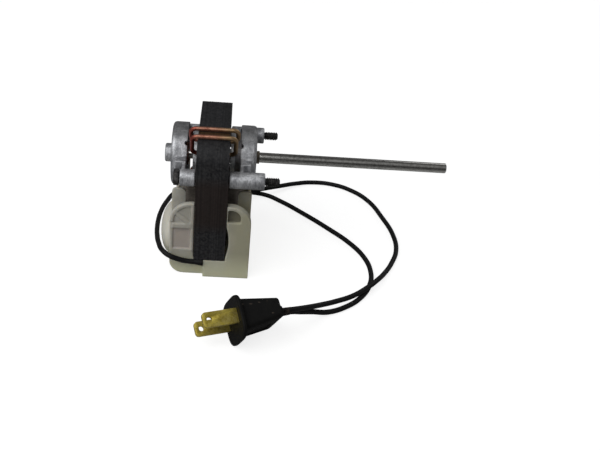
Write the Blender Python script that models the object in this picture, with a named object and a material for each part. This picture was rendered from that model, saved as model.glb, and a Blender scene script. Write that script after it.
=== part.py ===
# Shaded-pole exhaust fan motor standing on its nylon coil cover.
# World frame: origin on the table under the middle of the lamination stack,
# +X along the shaft, +Y away from the camera, +Z up. Everything is worked out in
# millimetres and each finished mesh is scaled to metres.
import math
import bmesh
import bpy
from mathutils import Matrix, Vector

for old in list(bpy.data.objects):
    bpy.data.objects.remove(old, do_unlink=True)

MM = 0.001

# Driving dimensions
GAP = 0.3                 # clearance between pieces that touch
AXIS_Z = 50.0             # height of the shaft axis over the table
STACK_T = 14.3            # thickness of the lamination stack
STACK_HALF_W = 28.0       # half width of the C frame
STACK_TOP = 17.5          # top of the frame over the shaft axis
STACK_CORNER_R = 9.5      # rounded top corners
LEG_W = 11.0              # width of each leg
LEG_BOTTOM = 9.6          # height of the leg ends over the table
WINDOW_TOP = -15.2        # top of the window under the rotor, from the axis
BORE_R = 12.55            # rotor bore
BOLT_EDGE = 5.5           # bolt centre to the end of the frame
BOLT_D = 4.1              # shank of the through-bolts
POST_R = 3.85             # bracket posts round the bolts
REAR_POST_END = 14.4      # length of the rear posts from the stack middle
FRONT_POST_END = 23.35    # length of the front posts from the stack middle
BOLT_END = 30.0           # threaded end of the through-bolts
DRUM_R = 14.6             # round drum of each bracket
DRUM_IN = 12.0            # drum rim, from the stack middle
DRUM_OUT = 19.3           # drum outer face, from the stack middle
DRUM_WALL = 2.2
ARM_R = 9.0               # width of the bracket arm at its middle
RIB_HALF_H = 5.4          # cast rib between the posts, half height
RIB_OUT = 17.0            # its outer face, from the stack middle
BOSS_R = 4.3              # closed boss of the rear bracket
BOSS_OUT = 22.7           # its outer face, from the stack middle
SHAFT_D = 4.76            # shaft, 3/16 inch
SHAFT_END = 109.5         # tip of the shaft from the stack middle
SHAFT_REAR = 21.2         # rear end of the shaft inside the boss
ROTOR_R = 12.2
ROTOR_HALF = 7.2
CAGE_RING = 2.0           # length of the cage's end rings
RING_WIRE_D = 2.0         # copper shading rings
RING_LEG_X = 10.6         # where the legs of the inner rings run beside the stack
OUTER_LEG_X = 9.7         # the same for the outer rings
OUTER_RING_IN = 8.9       # outer near ring, from the end of the frame
INNER_RING_IN = 16.7      # inner near ring, from the end of the frame
COVER_HALF_X = 18.5       # nylon cover, half width
COVER_HALF_Y = 25.6       # nylon cover, half depth
COVER_FRONT = 28.0        # its thicker right front part
COVER_WALL = 1.5
COVER_RIM = 24.0          # height of the side walls
ARCH_TOP = 38.8           # height of the arched front
ARCH_FLAT = 1.55          # flat between the arch's corner and the leg
COVER_CORNER = 6.5        # rounded lower left edge
SILL_CUT = 4.65           # where the sill under the leg starts, from the leg's left face
DOME_OUT = 5.6            # how far the bulge stands out on the left
DOME_HALF_Y = 14.5
DOME_HALF_Z = 12.0
CORE_BAR_H = 12.0
COIL_TOP = 31.0           # top of the bobbin over the table
COIL_CORNER = 4.5         # rounded corners of the winding
BOBBIN_WALL = 1.2
BOBBIN_FLANGE = 1.4
EAR_W = 6.2               # ears of the bobbin flanges over the cover's side walls
EAR_TOP = 40.5
TAPE_T = 0.5
LEAD_D = 2.4
BLADE_W = 6.35
BLADE_T = 1.5
BLADE_LEN = 15.1
BLADE_PITCH = 12.7

# Derived places
HALF_T = STACK_T / 2
LEG_IN = STACK_HALF_W - LEG_W
BAR_LOW = LEG_BOTTOM + 0.6
BAR_HIGH = BAR_LOW + CORE_BAR_H
FLANGE_OUT = LEG_IN - 0.4
FLANGE_IN = FLANGE_OUT - BOBBIN_FLANGE
BOLT_PITCH_HALF = STACK_HALF_W - BOLT_EDGE
ARCH_R = COVER_HALF_X - HALF_T - ARCH_FLAT


# Mesh helpers
def material(name, color, metallic, rough):
    mat = bpy.data.materials.new(name)
    mat.use_nodes = True
    bsdf = mat.node_tree.nodes["Principled BSDF"]
    bsdf.inputs["Base Color"].default_value = (*color, 1.0)
    bsdf.inputs["Metallic"].default_value = metallic
    bsdf.inputs["Roughness"].default_value = rough
    mat.diffuse_color = (*color, 1.0)
    return mat


def make(name, verts, faces):
    mesh = bpy.data.meshes.new(name)
    mesh.from_pydata([tuple(v) for v in verts], [], faces)
    mesh.update()
    obj = bpy.data.objects.new(name, mesh)
    bpy.context.scene.collection.objects.link(obj)
    bm = bmesh.new()
    bm.from_mesh(mesh)
    bmesh.ops.recalc_face_normals(bm, faces=bm.faces)
    bm.to_mesh(mesh)
    bm.free()
    return obj


def prism(name, outline, low, high, along="X"):
    # outline points are (Y, Z) along X, (X, Z) along Y and (X, Y) along Z
    count = len(outline)
    verts = []
    for level in (low, high):
        for p, q in outline:
            if along == "X":
                verts.append((level, p, q))
            elif along == "Y":
                verts.append((p, level, q))
            else:
                verts.append((p, q, level))
    faces = [tuple(range(count)), tuple(range(count, 2 * count))]
    for i in range(count):
        j = (i + 1) % count
        faces.append((i, j, count + j, count + i))
    return make(name, verts, faces)


def box(name, low, high):
    outline = [(low[1], low[2]), (high[1], low[2]), (high[1], high[2]), (low[1], high[2])]
    return prism(name, outline, low[0], high[0])


def lathe(name, profile, y=0.0, z=0.0, count=32, turn=0.0):
    # profile is a closed loop of (X, radius); a radius of 0 is a point on the axis
    rows = []
    verts = []
    for x, r in profile:
        if r < 1e-6:
            rows.append([len(verts)] * count)
            verts.append((x, y, z))
            continue
        row = []
        for i in range(count):
            a = turn + 2 * math.pi * i / count
            row.append(len(verts))
            verts.append((x, y + r * math.cos(a), z + r * math.sin(a)))
        rows.append(row)
    faces = []
    for k in range(len(rows)):
        a, b = rows[k], rows[(k + 1) % len(rows)]
        if a[0] == a[1] and b[0] == b[1]:
            continue
        for i in range(count):
            j = (i + 1) % count
            quad = [a[i], a[j], b[j], b[i]]
            face = []
            for v in quad:
                if v not in face:
                    face.append(v)
            faces.append(tuple(face))
    return make(name, verts, faces)


def rod(name, r, x0, x1, y=0.0, z=0.0, count=24, bevel=0.0, turn=0.0):
    if bevel > 0:
        profile = [(x0, 0), (x0, r - bevel), (x0 + bevel, r), (x1 - bevel, r), (x1, r - bevel), (x1, 0)]
    else:
        profile = [(x0, 0), (x0, r), (x1, r), (x1, 0)]
    return lathe(name, profile, y, z, count, turn)


def tube(name, points, r, closed=False, sides=10, up=Vector((0, 0, 1))):
    # round tube with a frame carried along the route
    pts = [Vector(p) for p in points]
    count = len(pts)
    rows = []
    verts = []
    normal = None
    for i, p in enumerate(pts):
        before = pts[i - 1] if (closed or i > 0) else pts[i]
        after = pts[(i + 1) % count] if (closed or i < count - 1) else pts[i]
        t = (after - before).normalized()
        if normal is None:
            normal = (up - t * up.dot(t)).normalized()
        else:
            normal = (normal - t * normal.dot(t)).normalized()
        side = t.cross(normal)
        row = []
        for k in range(sides):
            a = 2 * math.pi * k / sides
            row.append(len(verts))
            verts.append(tuple(p + normal * (r * math.cos(a)) + side * (r * math.sin(a))))
        rows.append(row)
    faces = []
    for i in range(count if closed else count - 1):
        a, b = rows[i], rows[(i + 1) % count]
        for k in range(sides):
            j = (k + 1) % sides
            faces.append((a[k], a[j], b[j], b[k]))
    if not closed:
        faces.append(tuple(rows[0]))
        faces.append(tuple(rows[-1]))
    return make(name, verts, faces)


def merge(obj):
    bm = bmesh.new()
    bm.from_mesh(obj.data)
    bmesh.ops.remove_doubles(bm, verts=bm.verts, dist=0.0005)
    bm.to_mesh(obj.data)
    bm.free()


def combine(target, other, operation):
    mod = target.modifiers.new("shape", "BOOLEAN")
    mod.operation = operation
    mod.solver = "EXACT"
    mod.object = other
    bpy.context.view_layer.objects.active = target
    bpy.ops.object.modifier_apply(modifier=mod.name)
    bpy.data.objects.remove(other, do_unlink=True)
    merge(target)


def cut(target, other):
    combine(target, other, "DIFFERENCE")


def add(target, other):
    combine(target, other, "UNION")


def arc(cx, cy, r, a0, a1, steps):
    out = []
    for i in range(steps + 1):
        a = math.radians(a0 + (a1 - a0) * i / steps)
        out.append((cx + r * math.cos(a), cy + r * math.sin(a)))
    return out


def round_box(x0, x1, z0, z1, r, steps=5):
    out = arc(x1 - r, z1 - r, r, 0, 90, steps)
    out += arc(x0 + r, z1 - r, r, 90, 180, steps)
    out += arc(x0 + r, z0 + r, r, 180, 270, steps)
    out += arc(x1 - r, z0 + r, r, 270, 360, steps)
    return out


def smooth(obj, angle=35.0):
    bpy.ops.object.select_all(action="DESELECT")
    obj.select_set(True)
    bpy.context.view_layer.objects.active = obj
    bpy.ops.object.shade_smooth_by_angle(angle=math.radians(angle))
    obj.select_set(False)


def finish(obj, mat, angle=35.0):
    merge(obj)
    obj.data.transform(Matrix.Scale(MM, 4))
    obj.data.materials.clear()
    obj.data.materials.append(mat)
    smooth(obj, angle)
    return obj


# Shading rings: place of the slot near the bore and of the outer bar, both (Y, Z) from the axis
RING_R = RING_WIRE_D / 2
SLOT_R = RING_R + GAP
RING_SLOT_AT = BORE_R + 1.65
TOP_BAR = STACK_TOP + GAP + RING_R
LOW_BAR = WINDOW_TOP - GAP - RING_R


def at_angle(r, degrees):
    return (r * math.cos(math.radians(degrees)), r * math.sin(math.radians(degrees)))


OUTER_RING_Y = -(STACK_HALF_W - OUTER_RING_IN)
INNER_RING_Y = -(STACK_HALF_W - INNER_RING_IN)
corner_reach = max(0.0, STACK_CORNER_R - OUTER_RING_IN)
drop = STACK_CORNER_R - math.sqrt(STACK_CORNER_R ** 2 - corner_reach ** 2)
RINGS = {
    "shading_ring_near_outer": (at_angle(RING_SLOT_AT, 150), (OUTER_RING_Y, TOP_BAR - drop + 0.1)),
    "shading_ring_near_inner": (at_angle(RING_SLOT_AT, 125), (INNER_RING_Y, TOP_BAR)),
    "shading_ring_far_outer": (at_angle(RING_SLOT_AT, -30), (LEG_IN - 2.4, LOW_BAR)),
    "shading_ring_far_inner": (at_angle(RING_SLOT_AT, -55), (LEG_IN - 7.4, LOW_BAR)),
}


# Lamination stack
def build_stack():
    w, top, r = STACK_HALF_W, STACK_TOP, STACK_CORNER_R
    low = LEG_BOTTOM - AXIS_Z
    outline = arc(w - r, top - r, r, 0, 90, 8) + arc(-w + r, top - r, r, 90, 180, 8)
    outline += [(-w, low), (-LEG_IN, low)]
    outline += arc(-LEG_IN + 2.2, WINDOW_TOP - 2.2, 2.2, 180, 90, 4)
    outline += arc(LEG_IN - 2.2, WINDOW_TOP - 2.2, 2.2, 90, 0, 4)
    outline += [(LEG_IN, low), (w, low)]
    outline = [(y, z + AXIS_Z) for y, z in outline]
    obj = prism("stator_stack", outline, -HALF_T, HALF_T)
    far = HALF_T + 1
    cut(obj, rod("bore", BORE_R, -far, far, 0, AXIS_Z, 64))
    for sign in (-1, 1):
        cut(obj, rod("hole", BOLT_D / 2 + GAP, -far, far, sign * BOLT_PITCH_HALF, AXIS_Z, 20))
    for slot, bar in RINGS.values():
        y, z = slot
        cut(obj, rod("slot", SLOT_R, -far, far, y, AXIS_Z + z, 12))
        d = math.hypot(y, z)
        uy, uz = y / d, z / d
        corners = []
        for along, across in ((BORE_R - 1.0, -0.5), (d - 0.4, -0.5), (d - 0.4, 0.5), (BORE_R - 1.0, 0.5)):
            corners.append((uy * along - uz * across, AXIS_Z + uz * along + uy * across))
        cut(obj, prism("slit", corners, -far, far))
    return obj


def ring_route(x, slot, bar):
    # rounded rectangle in the plane through the shaft direction and the line from slot to bar
    r = 2.6
    sy, sz = slot
    by, bz = bar
    length = math.hypot(by - sy, bz - sz)
    uy, uz = (by - sy) / length, (bz - sz) / length
    r = min(r, length * 0.4)
    flat = round_box(-x, x, 0, length, r, 4)
    return [(p, sy + uy * q, AXIS_Z + sz + uz * q) for p, q in flat]


def build_rings(mat):
    for name, (slot, bar) in RINGS.items():
        leg_x = OUTER_LEG_X if name.endswith("outer") else RING_LEG_X
        obj = tube(name, ring_route(leg_x, slot, bar), RING_R, True, 10)
        finish(obj, mat, 60)


# Coil
def build_coil(nylon, copper, tape_mat, steel):
    bar = box("core_bar", (-HALF_T, -LEG_IN + GAP, BAR_LOW), (HALF_T, LEG_IN - GAP, BAR_HIGH))
    finish(bar, steel)
    tx, tz0, tz1 = HALF_T + GAP, BAR_LOW - GAP, BAR_HIGH + GAP
    wall = BOBBIN_WALL
    flange_x = COVER_HALF_X - COVER_WALL - 0.5
    flange = round_box(-flange_x, flange_x, COVER_WALL + GAP, COIL_TOP, COIL_CORNER + 3.0, 6)
    bobbin = prism("coil_bobbin", flange, -FLANGE_OUT, FLANGE_OUT, "Y")
    hollow = 40.0
    for side in ("left", "right", "top", "low"):
        low = [-hollow, -FLANGE_IN, -hollow]
        high = [hollow, FLANGE_IN, hollow + 40]
        if side == "left":
            high[0] = -tx - wall
        elif side == "right":
            low[0] = tx + wall
        elif side == "top":
            low[2] = tz1 + wall
        else:
            high[2] = tz0 - wall
        cut(bobbin, box("hollow", low, high))
    cut(bobbin, box("hole", (-tx, -hollow, tz0), (tx, hollow, tz1)))
    ear_x = COVER_HALF_X - GAP
    for side in (-1, 1):
        for low, high in ((-FLANGE_OUT, -FLANGE_IN), (FLANGE_IN, FLANGE_OUT)):
            x0, x1 = sorted((side * (ear_x - EAR_W), side * ear_x))
            ear = round_box(x0, x1, COVER_RIM + 2 * GAP, EAR_TOP, 1.8, 4)
            add(bobbin, prism("ear", ear, low, high, "Y"))
    finish(bobbin, nylon)
    inner = tx + wall + GAP
    in_low, in_high = tz0 - wall - GAP, tz1 + wall + GAP
    half = COVER_HALF_X - COVER_WALL - 3.0
    low, high = COVER_WALL + GAP + 0.8, COIL_TOP - 1.2
    y = FLANGE_IN - GAP
    r = COIL_CORNER
    wire = prism("coil_winding", round_box(-half, half, low, high, r, 5), -y, y, "Y")
    cut(wire, box("hole", (-inner, -hollow, in_low), (inner, hollow, in_high)))
    finish(wire, copper)
    skin = GAP + TAPE_T
    outer = half + skin
    tape = prism("coil_tape", round_box(-outer, outer, low - skin, high + skin, r + skin, 5), -y, y, "Y")
    g = half + GAP
    cut(tape, prism("hole", round_box(-g, g, low - GAP, high + GAP, r + GAP, 5), -hollow, hollow, "Y"))
    finish(tape, tape_mat)


# Nylon cover
def arch_outline(x0, x1, low, top, r):
    out = arc(x1 - r, top - r, r, 0, 90, 8) if x1 > COVER_HALF_X - 0.1 else [(x1, top)]
    out += arc(x0 + r, top - r, r, 90, 180, 8) if x0 < -COVER_HALF_X + 0.1 else [(x0, top)]
    out += [(x0, low), (x1, low)]
    return out


def build_cover(nylon):
    hx, hy, wall, rim = COVER_HALF_X, COVER_HALF_Y, COVER_WALL, COVER_RIM
    slot_x = HALF_T + GAP
    front = COVER_FRONT
    base = [(hx, 0), (hx, rim), (-hx, rim)] + arc(-hx + COVER_CORNER, COVER_CORNER, COVER_CORNER, 180, 270, 6)
    obj = prism("coil_cover", base, -hy, hy, "Y")
    # bulge on the left side
    bpy.ops.mesh.primitive_uv_sphere_add(segments=32, ring_count=20, radius=1.0)
    dome = bpy.context.active_object
    dome.name = "bulge"
    dome.data.transform(Matrix.Diagonal((DOME_OUT, DOME_HALF_Y, DOME_HALF_Z, 1.0)))
    dome.data.transform(Matrix.Translation((-(hx - 0.3), -6.5, 13.2)))
    add(obj, dome)
    cut(obj, box("hollow", (-hx + wall, -hy + wall, wall), (hx - wall, hy - wall, 60)))
    # arched front, thicker on its right and under the leg
    arch = arch_outline(-hx, hx, rim - 6, ARCH_TOP, ARCH_R)
    add(obj, prism("arch", arch, -hy, -hy + wall, "Y"))
    right = arch_outline(slot_x - 1, hx, 0, ARCH_TOP, ARCH_R)
    add(obj, prism("right", right, -front, -hy + 0.5, "Y"))
    block_x = -slot_x + SILL_CUT
    add(obj, box("block", (block_x, -front, 0), (slot_x, -hy + 0.5, LEG_BOTTOM - GAP)))
    for sign in (-1, 1):
        y0, y1 = sorted((sign * (LEG_IN + 0.2), sign * (hy - 0.5)))
        add(obj, box("shelf", (-slot_x, y0, wall - 0.2), (slot_x, y1, LEG_BOTTOM - GAP)))
        y0, y1 = sorted((sign * (hy - wall - 1), sign * (front + 2)))
        cut(obj, box("leg", (-slot_x, y0, LEG_BOTTOM - GAP), (slot_x, y1, 60)))
    # curved relief beside the right face of the leg
    relief = [(slot_x - 0.5, 10.0), (slot_x + 0.5, 12.0), (slot_x + 1.1, 16.0), (slot_x + 1.25, 19.5)]
    relief += [(slot_x + 1.0, 23.5), (slot_x + 0.4, 27.0), (slot_x - 0.5, 29.5)]
    cut(obj, prism("relief", relief, -front - 1, -hy + wall + 1, "Y"))
    # left front: arch band, upright band by the leg, level bar and slanted rib
    proud = 0.8
    y0, y1 = -hy - proud, -hy + 0.4
    outer = arc(-hx + ARCH_R, ARCH_TOP - ARCH_R, ARCH_R, 180, 90, 8) + [(-slot_x, ARCH_TOP)]
    inner = [(-slot_x, ARCH_TOP - 1.7)]
    inner += arc(-hx + ARCH_R, ARCH_TOP - ARCH_R, ARCH_R - 1.7, 90, 180, 8)
    add(obj, prism("band", outer + inner, y0, y1, "Y"))
    add(obj, box("upright", (-slot_x - 1.3, y0, 13.0), (-slot_x, y1, ARCH_TOP - 1.0)))
    add(obj, box("bar", (-hx + 1.2, y0, 25.3), (-slot_x - 0.6, y1, 27.7)))
    end = -slot_x - 0.95
    rib = [(-hx + 2.6, ARCH_TOP - 6.3), (-hx + 3.6, ARCH_TOP - 4.9), (end, ARCH_TOP - 10.9)]
    rib += [(end, ARCH_TOP - 12.9), (end - 0.6, ARCH_TOP - 13.1)]
    add(obj, prism("rib", rib, y0 + 0.2, y1, "Y"))
    cut(obj, box("panel", (-hx + 1.4, -hy - 1, 13.6), (-slot_x - 1.6, -hy + 0.6, 24.9)))
    # right front: quarter-round window
    win0, win1, win_top = slot_x + 0.35, hx - 3.5, ARCH_TOP - 2.1
    win_r = 0.656 * (win1 - win0)
    window = arc(win1 - win_r, win_top - win_r, win_r, 0, 90, 6)
    window += [(win0, win_top), (win0, win_top - win_r - 2.4), (win1, win_top - win_r - 2.4)]
    cut(obj, prism("window", window, -front - 1, -hy - 0.2, "Y"))
    finish(obj, nylon, 30)


# Brackets, sign -1 is the rear one at the left
def build_bracket(name, sign, post_end, mat):
    s = sign

    def span(a, b):
        return (s * a, s * b) if s > 0 else (s * b, s * a)

    def turned(profile):
        return [(s * x, r) for x, r in profile]

    r = DRUM_R
    drum = [(DRUM_IN, 0), (DRUM_IN, r), (DRUM_OUT - 1.4, r), (DRUM_OUT - 0.5, r - 0.35)]
    drum += [(DRUM_OUT, r - 1.2), (DRUM_OUT, 0)]
    obj = lathe(name, turned(drum), 0, AXIS_Z, 56)
    arm = []
    small, big = POST_R - 0.35, ARM_R
    tilt = math.degrees(math.asin((big - small) / BOLT_PITCH_HALF))
    arm += arc(BOLT_PITCH_HALF, 0, small, -(90 - tilt), 90 - tilt, 8)
    arm += arc(0, 0, big, 90 - tilt, 90 + tilt, 3)
    arm += arc(-BOLT_PITCH_HALF, 0, small, 90 + tilt, 270 - tilt, 8)
    arm += arc(0, 0, big, 270 - tilt, 270 + tilt, 3)
    arm = [(y, z + AXIS_Z) for y, z in arm]
    add(obj, prism("arm", arm, *span(DRUM_IN + 0.1, DRUM_IN + 1.6)))
    y = BOLT_PITCH_HALF - POST_R - 0.6
    h = RIB_HALF_H
    rib = [(-y, AXIS_Z - h), (y, AXIS_Z - h), (y, AXIS_Z + h), (-y, AXIS_Z + h)]
    add(obj, prism("rib", rib, *span(DRUM_IN + 0.2, RIB_OUT)))
    for side in (-1, 1):
        a, b = span(HALF_T + GAP, post_end)
        yy = side * BOLT_PITCH_HALF
        add(obj, rod("post", POST_R, a, b, yy, AXIS_Z, 28, 0.35))
        cut(obj, rod("hole", BOLT_D / 2 + GAP, a - 1, b + 1, yy, AXIS_Z, 20))
    # small notch in the rim on each side, at about 45 degrees
    for angle in (46.3, 133.7, 226.3, 313.7):
        cutter = rod("notch", 1.1, r - 4, r + 1, 0, 0, 12, 0.0, 0.1)
        cutter.data.transform(Matrix.Rotation(math.radians(90), 4, "Z"))
        cutter.data.transform(Matrix.Rotation(math.radians(angle), 4, "X"))
        cutter.data.transform(Matrix.Translation((s * (DRUM_IN + 0.1), 0, AXIS_Z)))
        cut(obj, cutter)
    if s < 0:
        boss = [(DRUM_OUT - 1, 0), (DRUM_OUT - 1, BOSS_R), (BOSS_OUT - 0.4, BOSS_R)]
        boss += [(BOSS_OUT, BOSS_R - 0.4), (BOSS_OUT, 0)]
        add(obj, lathe("boss", turned(boss), 0, AXIS_Z, 32))
    # hollow of the drum, round the hub that holds the bushing, and the pocket in the hub
    end = DRUM_OUT + 1 if s > 0 else BOSS_OUT - 0.9
    inside = r - DRUM_WALL
    hollow = [(DRUM_IN - 1, 0), (DRUM_IN - 1, inside), (16.8, inside), (16.8, 8.4), (13.4, 8.4)]
    hollow += [(13.4, 7.0), (16.5, 7.0), (16.5, 5.05), (18.6, 5.05), (18.6, 3.3), (end, 3.3), (end, 0)]
    cut(obj, lathe("hollow", turned(hollow), 0, AXIS_Z, 48))
    finish(obj, mat, 30)


def build_bearing(side, sign, bronze, felt, steel):
    bore = SHAFT_D / 2 + GAP
    nose = 20.95 if sign > 0 else 19.6
    barrel = [(14.8, bore), (14.8, 3.9), (15.6, 4.5), (16.6, 4.72), (17.6, 4.5), (18.3, 3.9)]
    barrel += [(18.3, 2.98), (nose, 2.98), (nose, bore)]
    finish(lathe(side + "_bushing", [(sign * x, r) for x, r in barrel], 0, AXIS_Z, 28), bronze)
    ring = [(15.0, 5.05), (15.0, 6.7), (16.2, 6.7), (16.2, 5.05)]
    finish(lathe(side + "_felt", [(sign * x, r) for x, r in ring], 0, AXIS_Z, 28), felt)
    plate = [(13.9, bore + 0.5), (13.9, 6.7), (14.5, 6.7), (14.5, bore + 0.5)]
    finish(lathe(side + "_retainer", [(sign * x, r) for x, r in plate], 0, AXIS_Z, 28), steel)


def build_bolt(name, side, mat):
    y = side * BOLT_PITCH_HALF
    head0, head1 = -REAR_POST_END - GAP - 2.5, -REAR_POST_END - GAP
    r = 6.35 / 2 / math.cos(math.radians(30))
    profile = [(head0, 0), (head0, r - 0.5), (head0 + 0.4, r), (head1, r), (head1, 0)]
    obj = lathe(name, profile, y, AXIS_Z, 6, math.radians(30))
    b = BOLT_D / 2
    shank = [(head1 - 0.5, 0), (head1 - 0.5, b), (BOLT_END - 0.6, b), (BOLT_END, b - 0.6), (BOLT_END, 0)]
    add(obj, lathe("shank", shank, y, AXIS_Z, 16))
    finish(obj, mat)


# Rotor: every piece turns about the shaft axis, so its origin lies on that axis
def on_axis(obj):
    obj.data.transform(Matrix.Translation((0, 0, -AXIS_Z)))
    obj.location = (0, 0, AXIS_Z * MM)
    return obj


SLOTS = 13
SKEW = math.radians(24)
BAR_R = 1.05
BAR_AT = 10.15


def bar_circle(index, part, r, sides):
    # ring of points of one skewed bar or slot at a share of the rotor length
    turn = SKEW * (part - 0.5)
    a = 2 * math.pi * index / SLOTS + turn
    cy, cz = BAR_AT * math.cos(a), BAR_AT * math.sin(a)
    out = []
    for k in range(sides):
        b = a + 2 * math.pi * k / sides
        out.append((cy + r * math.cos(b), AXIS_Z + cz + r * math.sin(b)))
    return out


def skewed(name, index, r, x0, x1, sides=8, steps=5):
    verts, faces = [], []
    for s in range(steps + 1):
        part = s / steps
        x = x0 + (x1 - x0) * part
        share = (x + ROTOR_HALF) / (2 * ROTOR_HALF)
        verts += [(x, y, z) for y, z in bar_circle(index, share, r, sides)]
    for s in range(steps):
        for k in range(sides):
            j = (k + 1) % sides
            faces.append((s * sides + k, s * sides + j, (s + 1) * sides + j, (s + 1) * sides + k))
    faces.append(tuple(range(sides)))
    faces.append(tuple(range(steps * sides, (steps + 1) * sides)))
    return verts, faces


def skewed_set(name, r, x0, x1):
    verts, faces = [], []
    for i in range(SLOTS):
        v, f = skewed(name, i, r, x0, x1)
        start = len(verts)
        verts += v
        faces += [tuple(k + start for k in face) for face in f]
    return make(name, verts, faces)


def build_rotor(lam, cast, steel, fibre):
    ring_in, ring_out = 7.6, 11.5
    bore = SHAFT_D / 2
    core = lathe("rotor_core", [(-ROTOR_HALF, bore + GAP), (-ROTOR_HALF, ROTOR_R),
                                (ROTOR_HALF, ROTOR_R), (ROTOR_HALF, bore + GAP)], 0, AXIS_Z, 52)
    cut(core, skewed_set("slots", BAR_R + GAP, -ROTOR_HALF - 1, ROTOR_HALF + 1))
    finish(on_axis(core), lam)
    x0, x1 = ROTOR_HALF + GAP, ROTOR_HALF + GAP + CAGE_RING
    cage = skewed_set("rotor_cage", BAR_R, -x0 - 1, x0 + 1)
    for sign in (-1, 1):
        a, b = sorted((sign * x0, sign * x1))
        ring = lathe("ring", [(a, ring_in), (a, ring_out), (b, ring_out), (b, ring_in)], 0, AXIS_Z, 40)
        add(cage, ring)
    finish(on_axis(cage), cast)
    r = SHAFT_D / 2
    profile = [(-SHAFT_REAR, 0), (-SHAFT_REAR, r - 0.4), (-SHAFT_REAR + 0.4, r), (SHAFT_END - 0.5, r)]
    profile += [(SHAFT_END, r - 0.5), (SHAFT_END, 0)]
    finish(on_axis(lathe("shaft", profile, 0, AXIS_Z, 28)), steel)
    for side, sign in (("rear", -1), ("front", 1)):
        ring = [(11.9, r + GAP), (11.9, 5.2), (13.1, 5.2), (13.1, r + GAP)]
        obj = lathe(side + "_washer", [(sign * x, q) for x, q in ring], 0, AXIS_Z, 24)
        finish(on_axis(obj), fibre)


# Plug, built along its own axes: blades point to +A, blade spacing along N, blade width along W
PLUG_AT = Vector((12.1, -74.0, 0.0))
PLUG_TURN = math.radians(201.8)
PLUG_LIFT = math.radians(3.4)
PLUG_ROLL = math.radians(34.8)
PLUG_BODY = 17.9
PLUG_NECK = 3.9
FLANGE_N, FLANGE_W = 14.5, 10.6
FLANGE_T = 2.4
FLANGE_POWER = 1.5        # 1 is a diamond, 2 an ellipse
LEAD_APART = 3.0          # spacing of the leads where they enter the plug


def plug_axes():
    a = Vector((math.cos(PLUG_LIFT) * math.cos(PLUG_TURN), math.cos(PLUG_LIFT) * math.sin(PLUG_TURN),
                math.sin(PLUG_LIFT)))
    s = Vector((0, 0, 1)).cross(a).normalized()
    t = a.cross(s)
    n = t * math.cos(PLUG_ROLL) + s * math.sin(PLUG_ROLL)
    return a, n, a.cross(n)


def rounded_diamond(half_n, half_w, power, steps=40):
    out = []
    for i in range(steps):
        t = 2 * math.pi * i / steps
        c, s = math.cos(t), math.sin(t)
        out.append((math.copysign(abs(c) ** (2 / power), c) * half_n,
                    math.copysign(abs(s) ** (2 / power), s) * half_w))
    return out


PLUG_A, PLUG_N, PLUG_W = plug_axes()
lowest = 0.0
for n, w in rounded_diamond(FLANGE_N, FLANGE_W, FLANGE_POWER):
    for back in (0.0, -FLANGE_T):
        lowest = min(lowest, (PLUG_A * back + PLUG_N * n + PLUG_W * w).z)
PLUG_FACE = Vector((PLUG_AT.x, PLUG_AT.y, -lowest + 0.02))


def plug_point(a, n, w):
    return PLUG_FACE + PLUG_A * a + PLUG_N * n + PLUG_W * w


def loft(name, sections):
    # sections are lists of points with the same count, first and last are closed
    count = len(sections[0])
    verts = [tuple(p) for section in sections for p in section]
    faces = [tuple(range(count)), tuple(range((len(sections) - 1) * count, len(sections) * count))]
    for s in range(len(sections) - 1):
        for i in range(count):
            j = (i + 1) % count
            faces.append((s * count + i, s * count + j, (s + 1) * count + j, (s + 1) * count + i))
    return make(name, verts, faces)


def blade_box(name, centre, length, width, thick, start):
    verts = []
    for a in (start, start + length):
        for n, w in ((-1, -1), (1, -1), (1, 1), (-1, 1)):
            verts.append(tuple(plug_point(a, centre + n * thick / 2, w * width / 2)))
    faces = [(0, 1, 2, 3), (4, 5, 6, 7), (0, 1, 5, 4), (1, 2, 6, 5), (2, 3, 7, 6), (3, 0, 4, 7)]
    return make(name, verts, faces)


def build_plug(black, brass):
    outer = rounded_diamond(FLANGE_N, FLANGE_W, FLANGE_POWER)
    flange = []
    for a, k in ((0.0, 0.93), (-0.6, 1.0), (-FLANGE_T + 0.5, 1.0), (-FLANGE_T, 0.95)):
        flange.append([plug_point(a, n * k, w * k) for n, w in outer])
    body = loft("plug_body", flange)
    # the grip is thicker at the flange and wider at its far end, and a neck leads to the leads
    grip = ((-FLANGE_T + 0.6, 8.3, 7.5), (-8.0, 8.6, 6.7), (-PLUG_BODY + 0.7, 9.3, 5.4),
            (-PLUG_BODY, 8.7, 4.8))
    neck = ((-PLUG_BODY + 0.5, 6.0, 4.3), (-PLUG_BODY - PLUG_NECK, 3.6, 2.3))
    for shape, name in ((grip, "grip"), (neck, "neck")):
        sections = []
        for a, hn, hw in shape:
            sections.append([plug_point(a, n * hn, w * hw) for n, w in rounded_diamond(1, 1, 4.5, 28)])
        add(body, loft(name, sections))
    depth = 3.0
    for side, name in ((1, "plug_blade_upper"), (-1, "plug_blade_lower")):
        centre = side * BLADE_PITCH / 2
        g = 2 * GAP
        cut(body, blade_box("pocket", centre, depth + 2, BLADE_W + g, BLADE_T + g, -depth))
        blade = blade_box(name, centre, BLADE_LEN + depth - GAP, BLADE_W, BLADE_T, -depth + GAP)
        hole = [(-BLADE_T, 0), (-BLADE_T, 1.6), (BLADE_T, 1.6), (BLADE_T, 0)]
        cutter = lathe("hole", hole, 0, 0, 16)
        axes = Matrix((PLUG_N, PLUG_W, PLUG_N.cross(PLUG_W))).transposed().to_4x4()
        cutter.data.transform(axes)
        cutter.data.transform(Matrix.Translation(plug_point(BLADE_LEN - 4.2, centre, 0)))
        cut(blade, cutter)
        finish(blade, brass)
    finish(body, black, 40)


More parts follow.
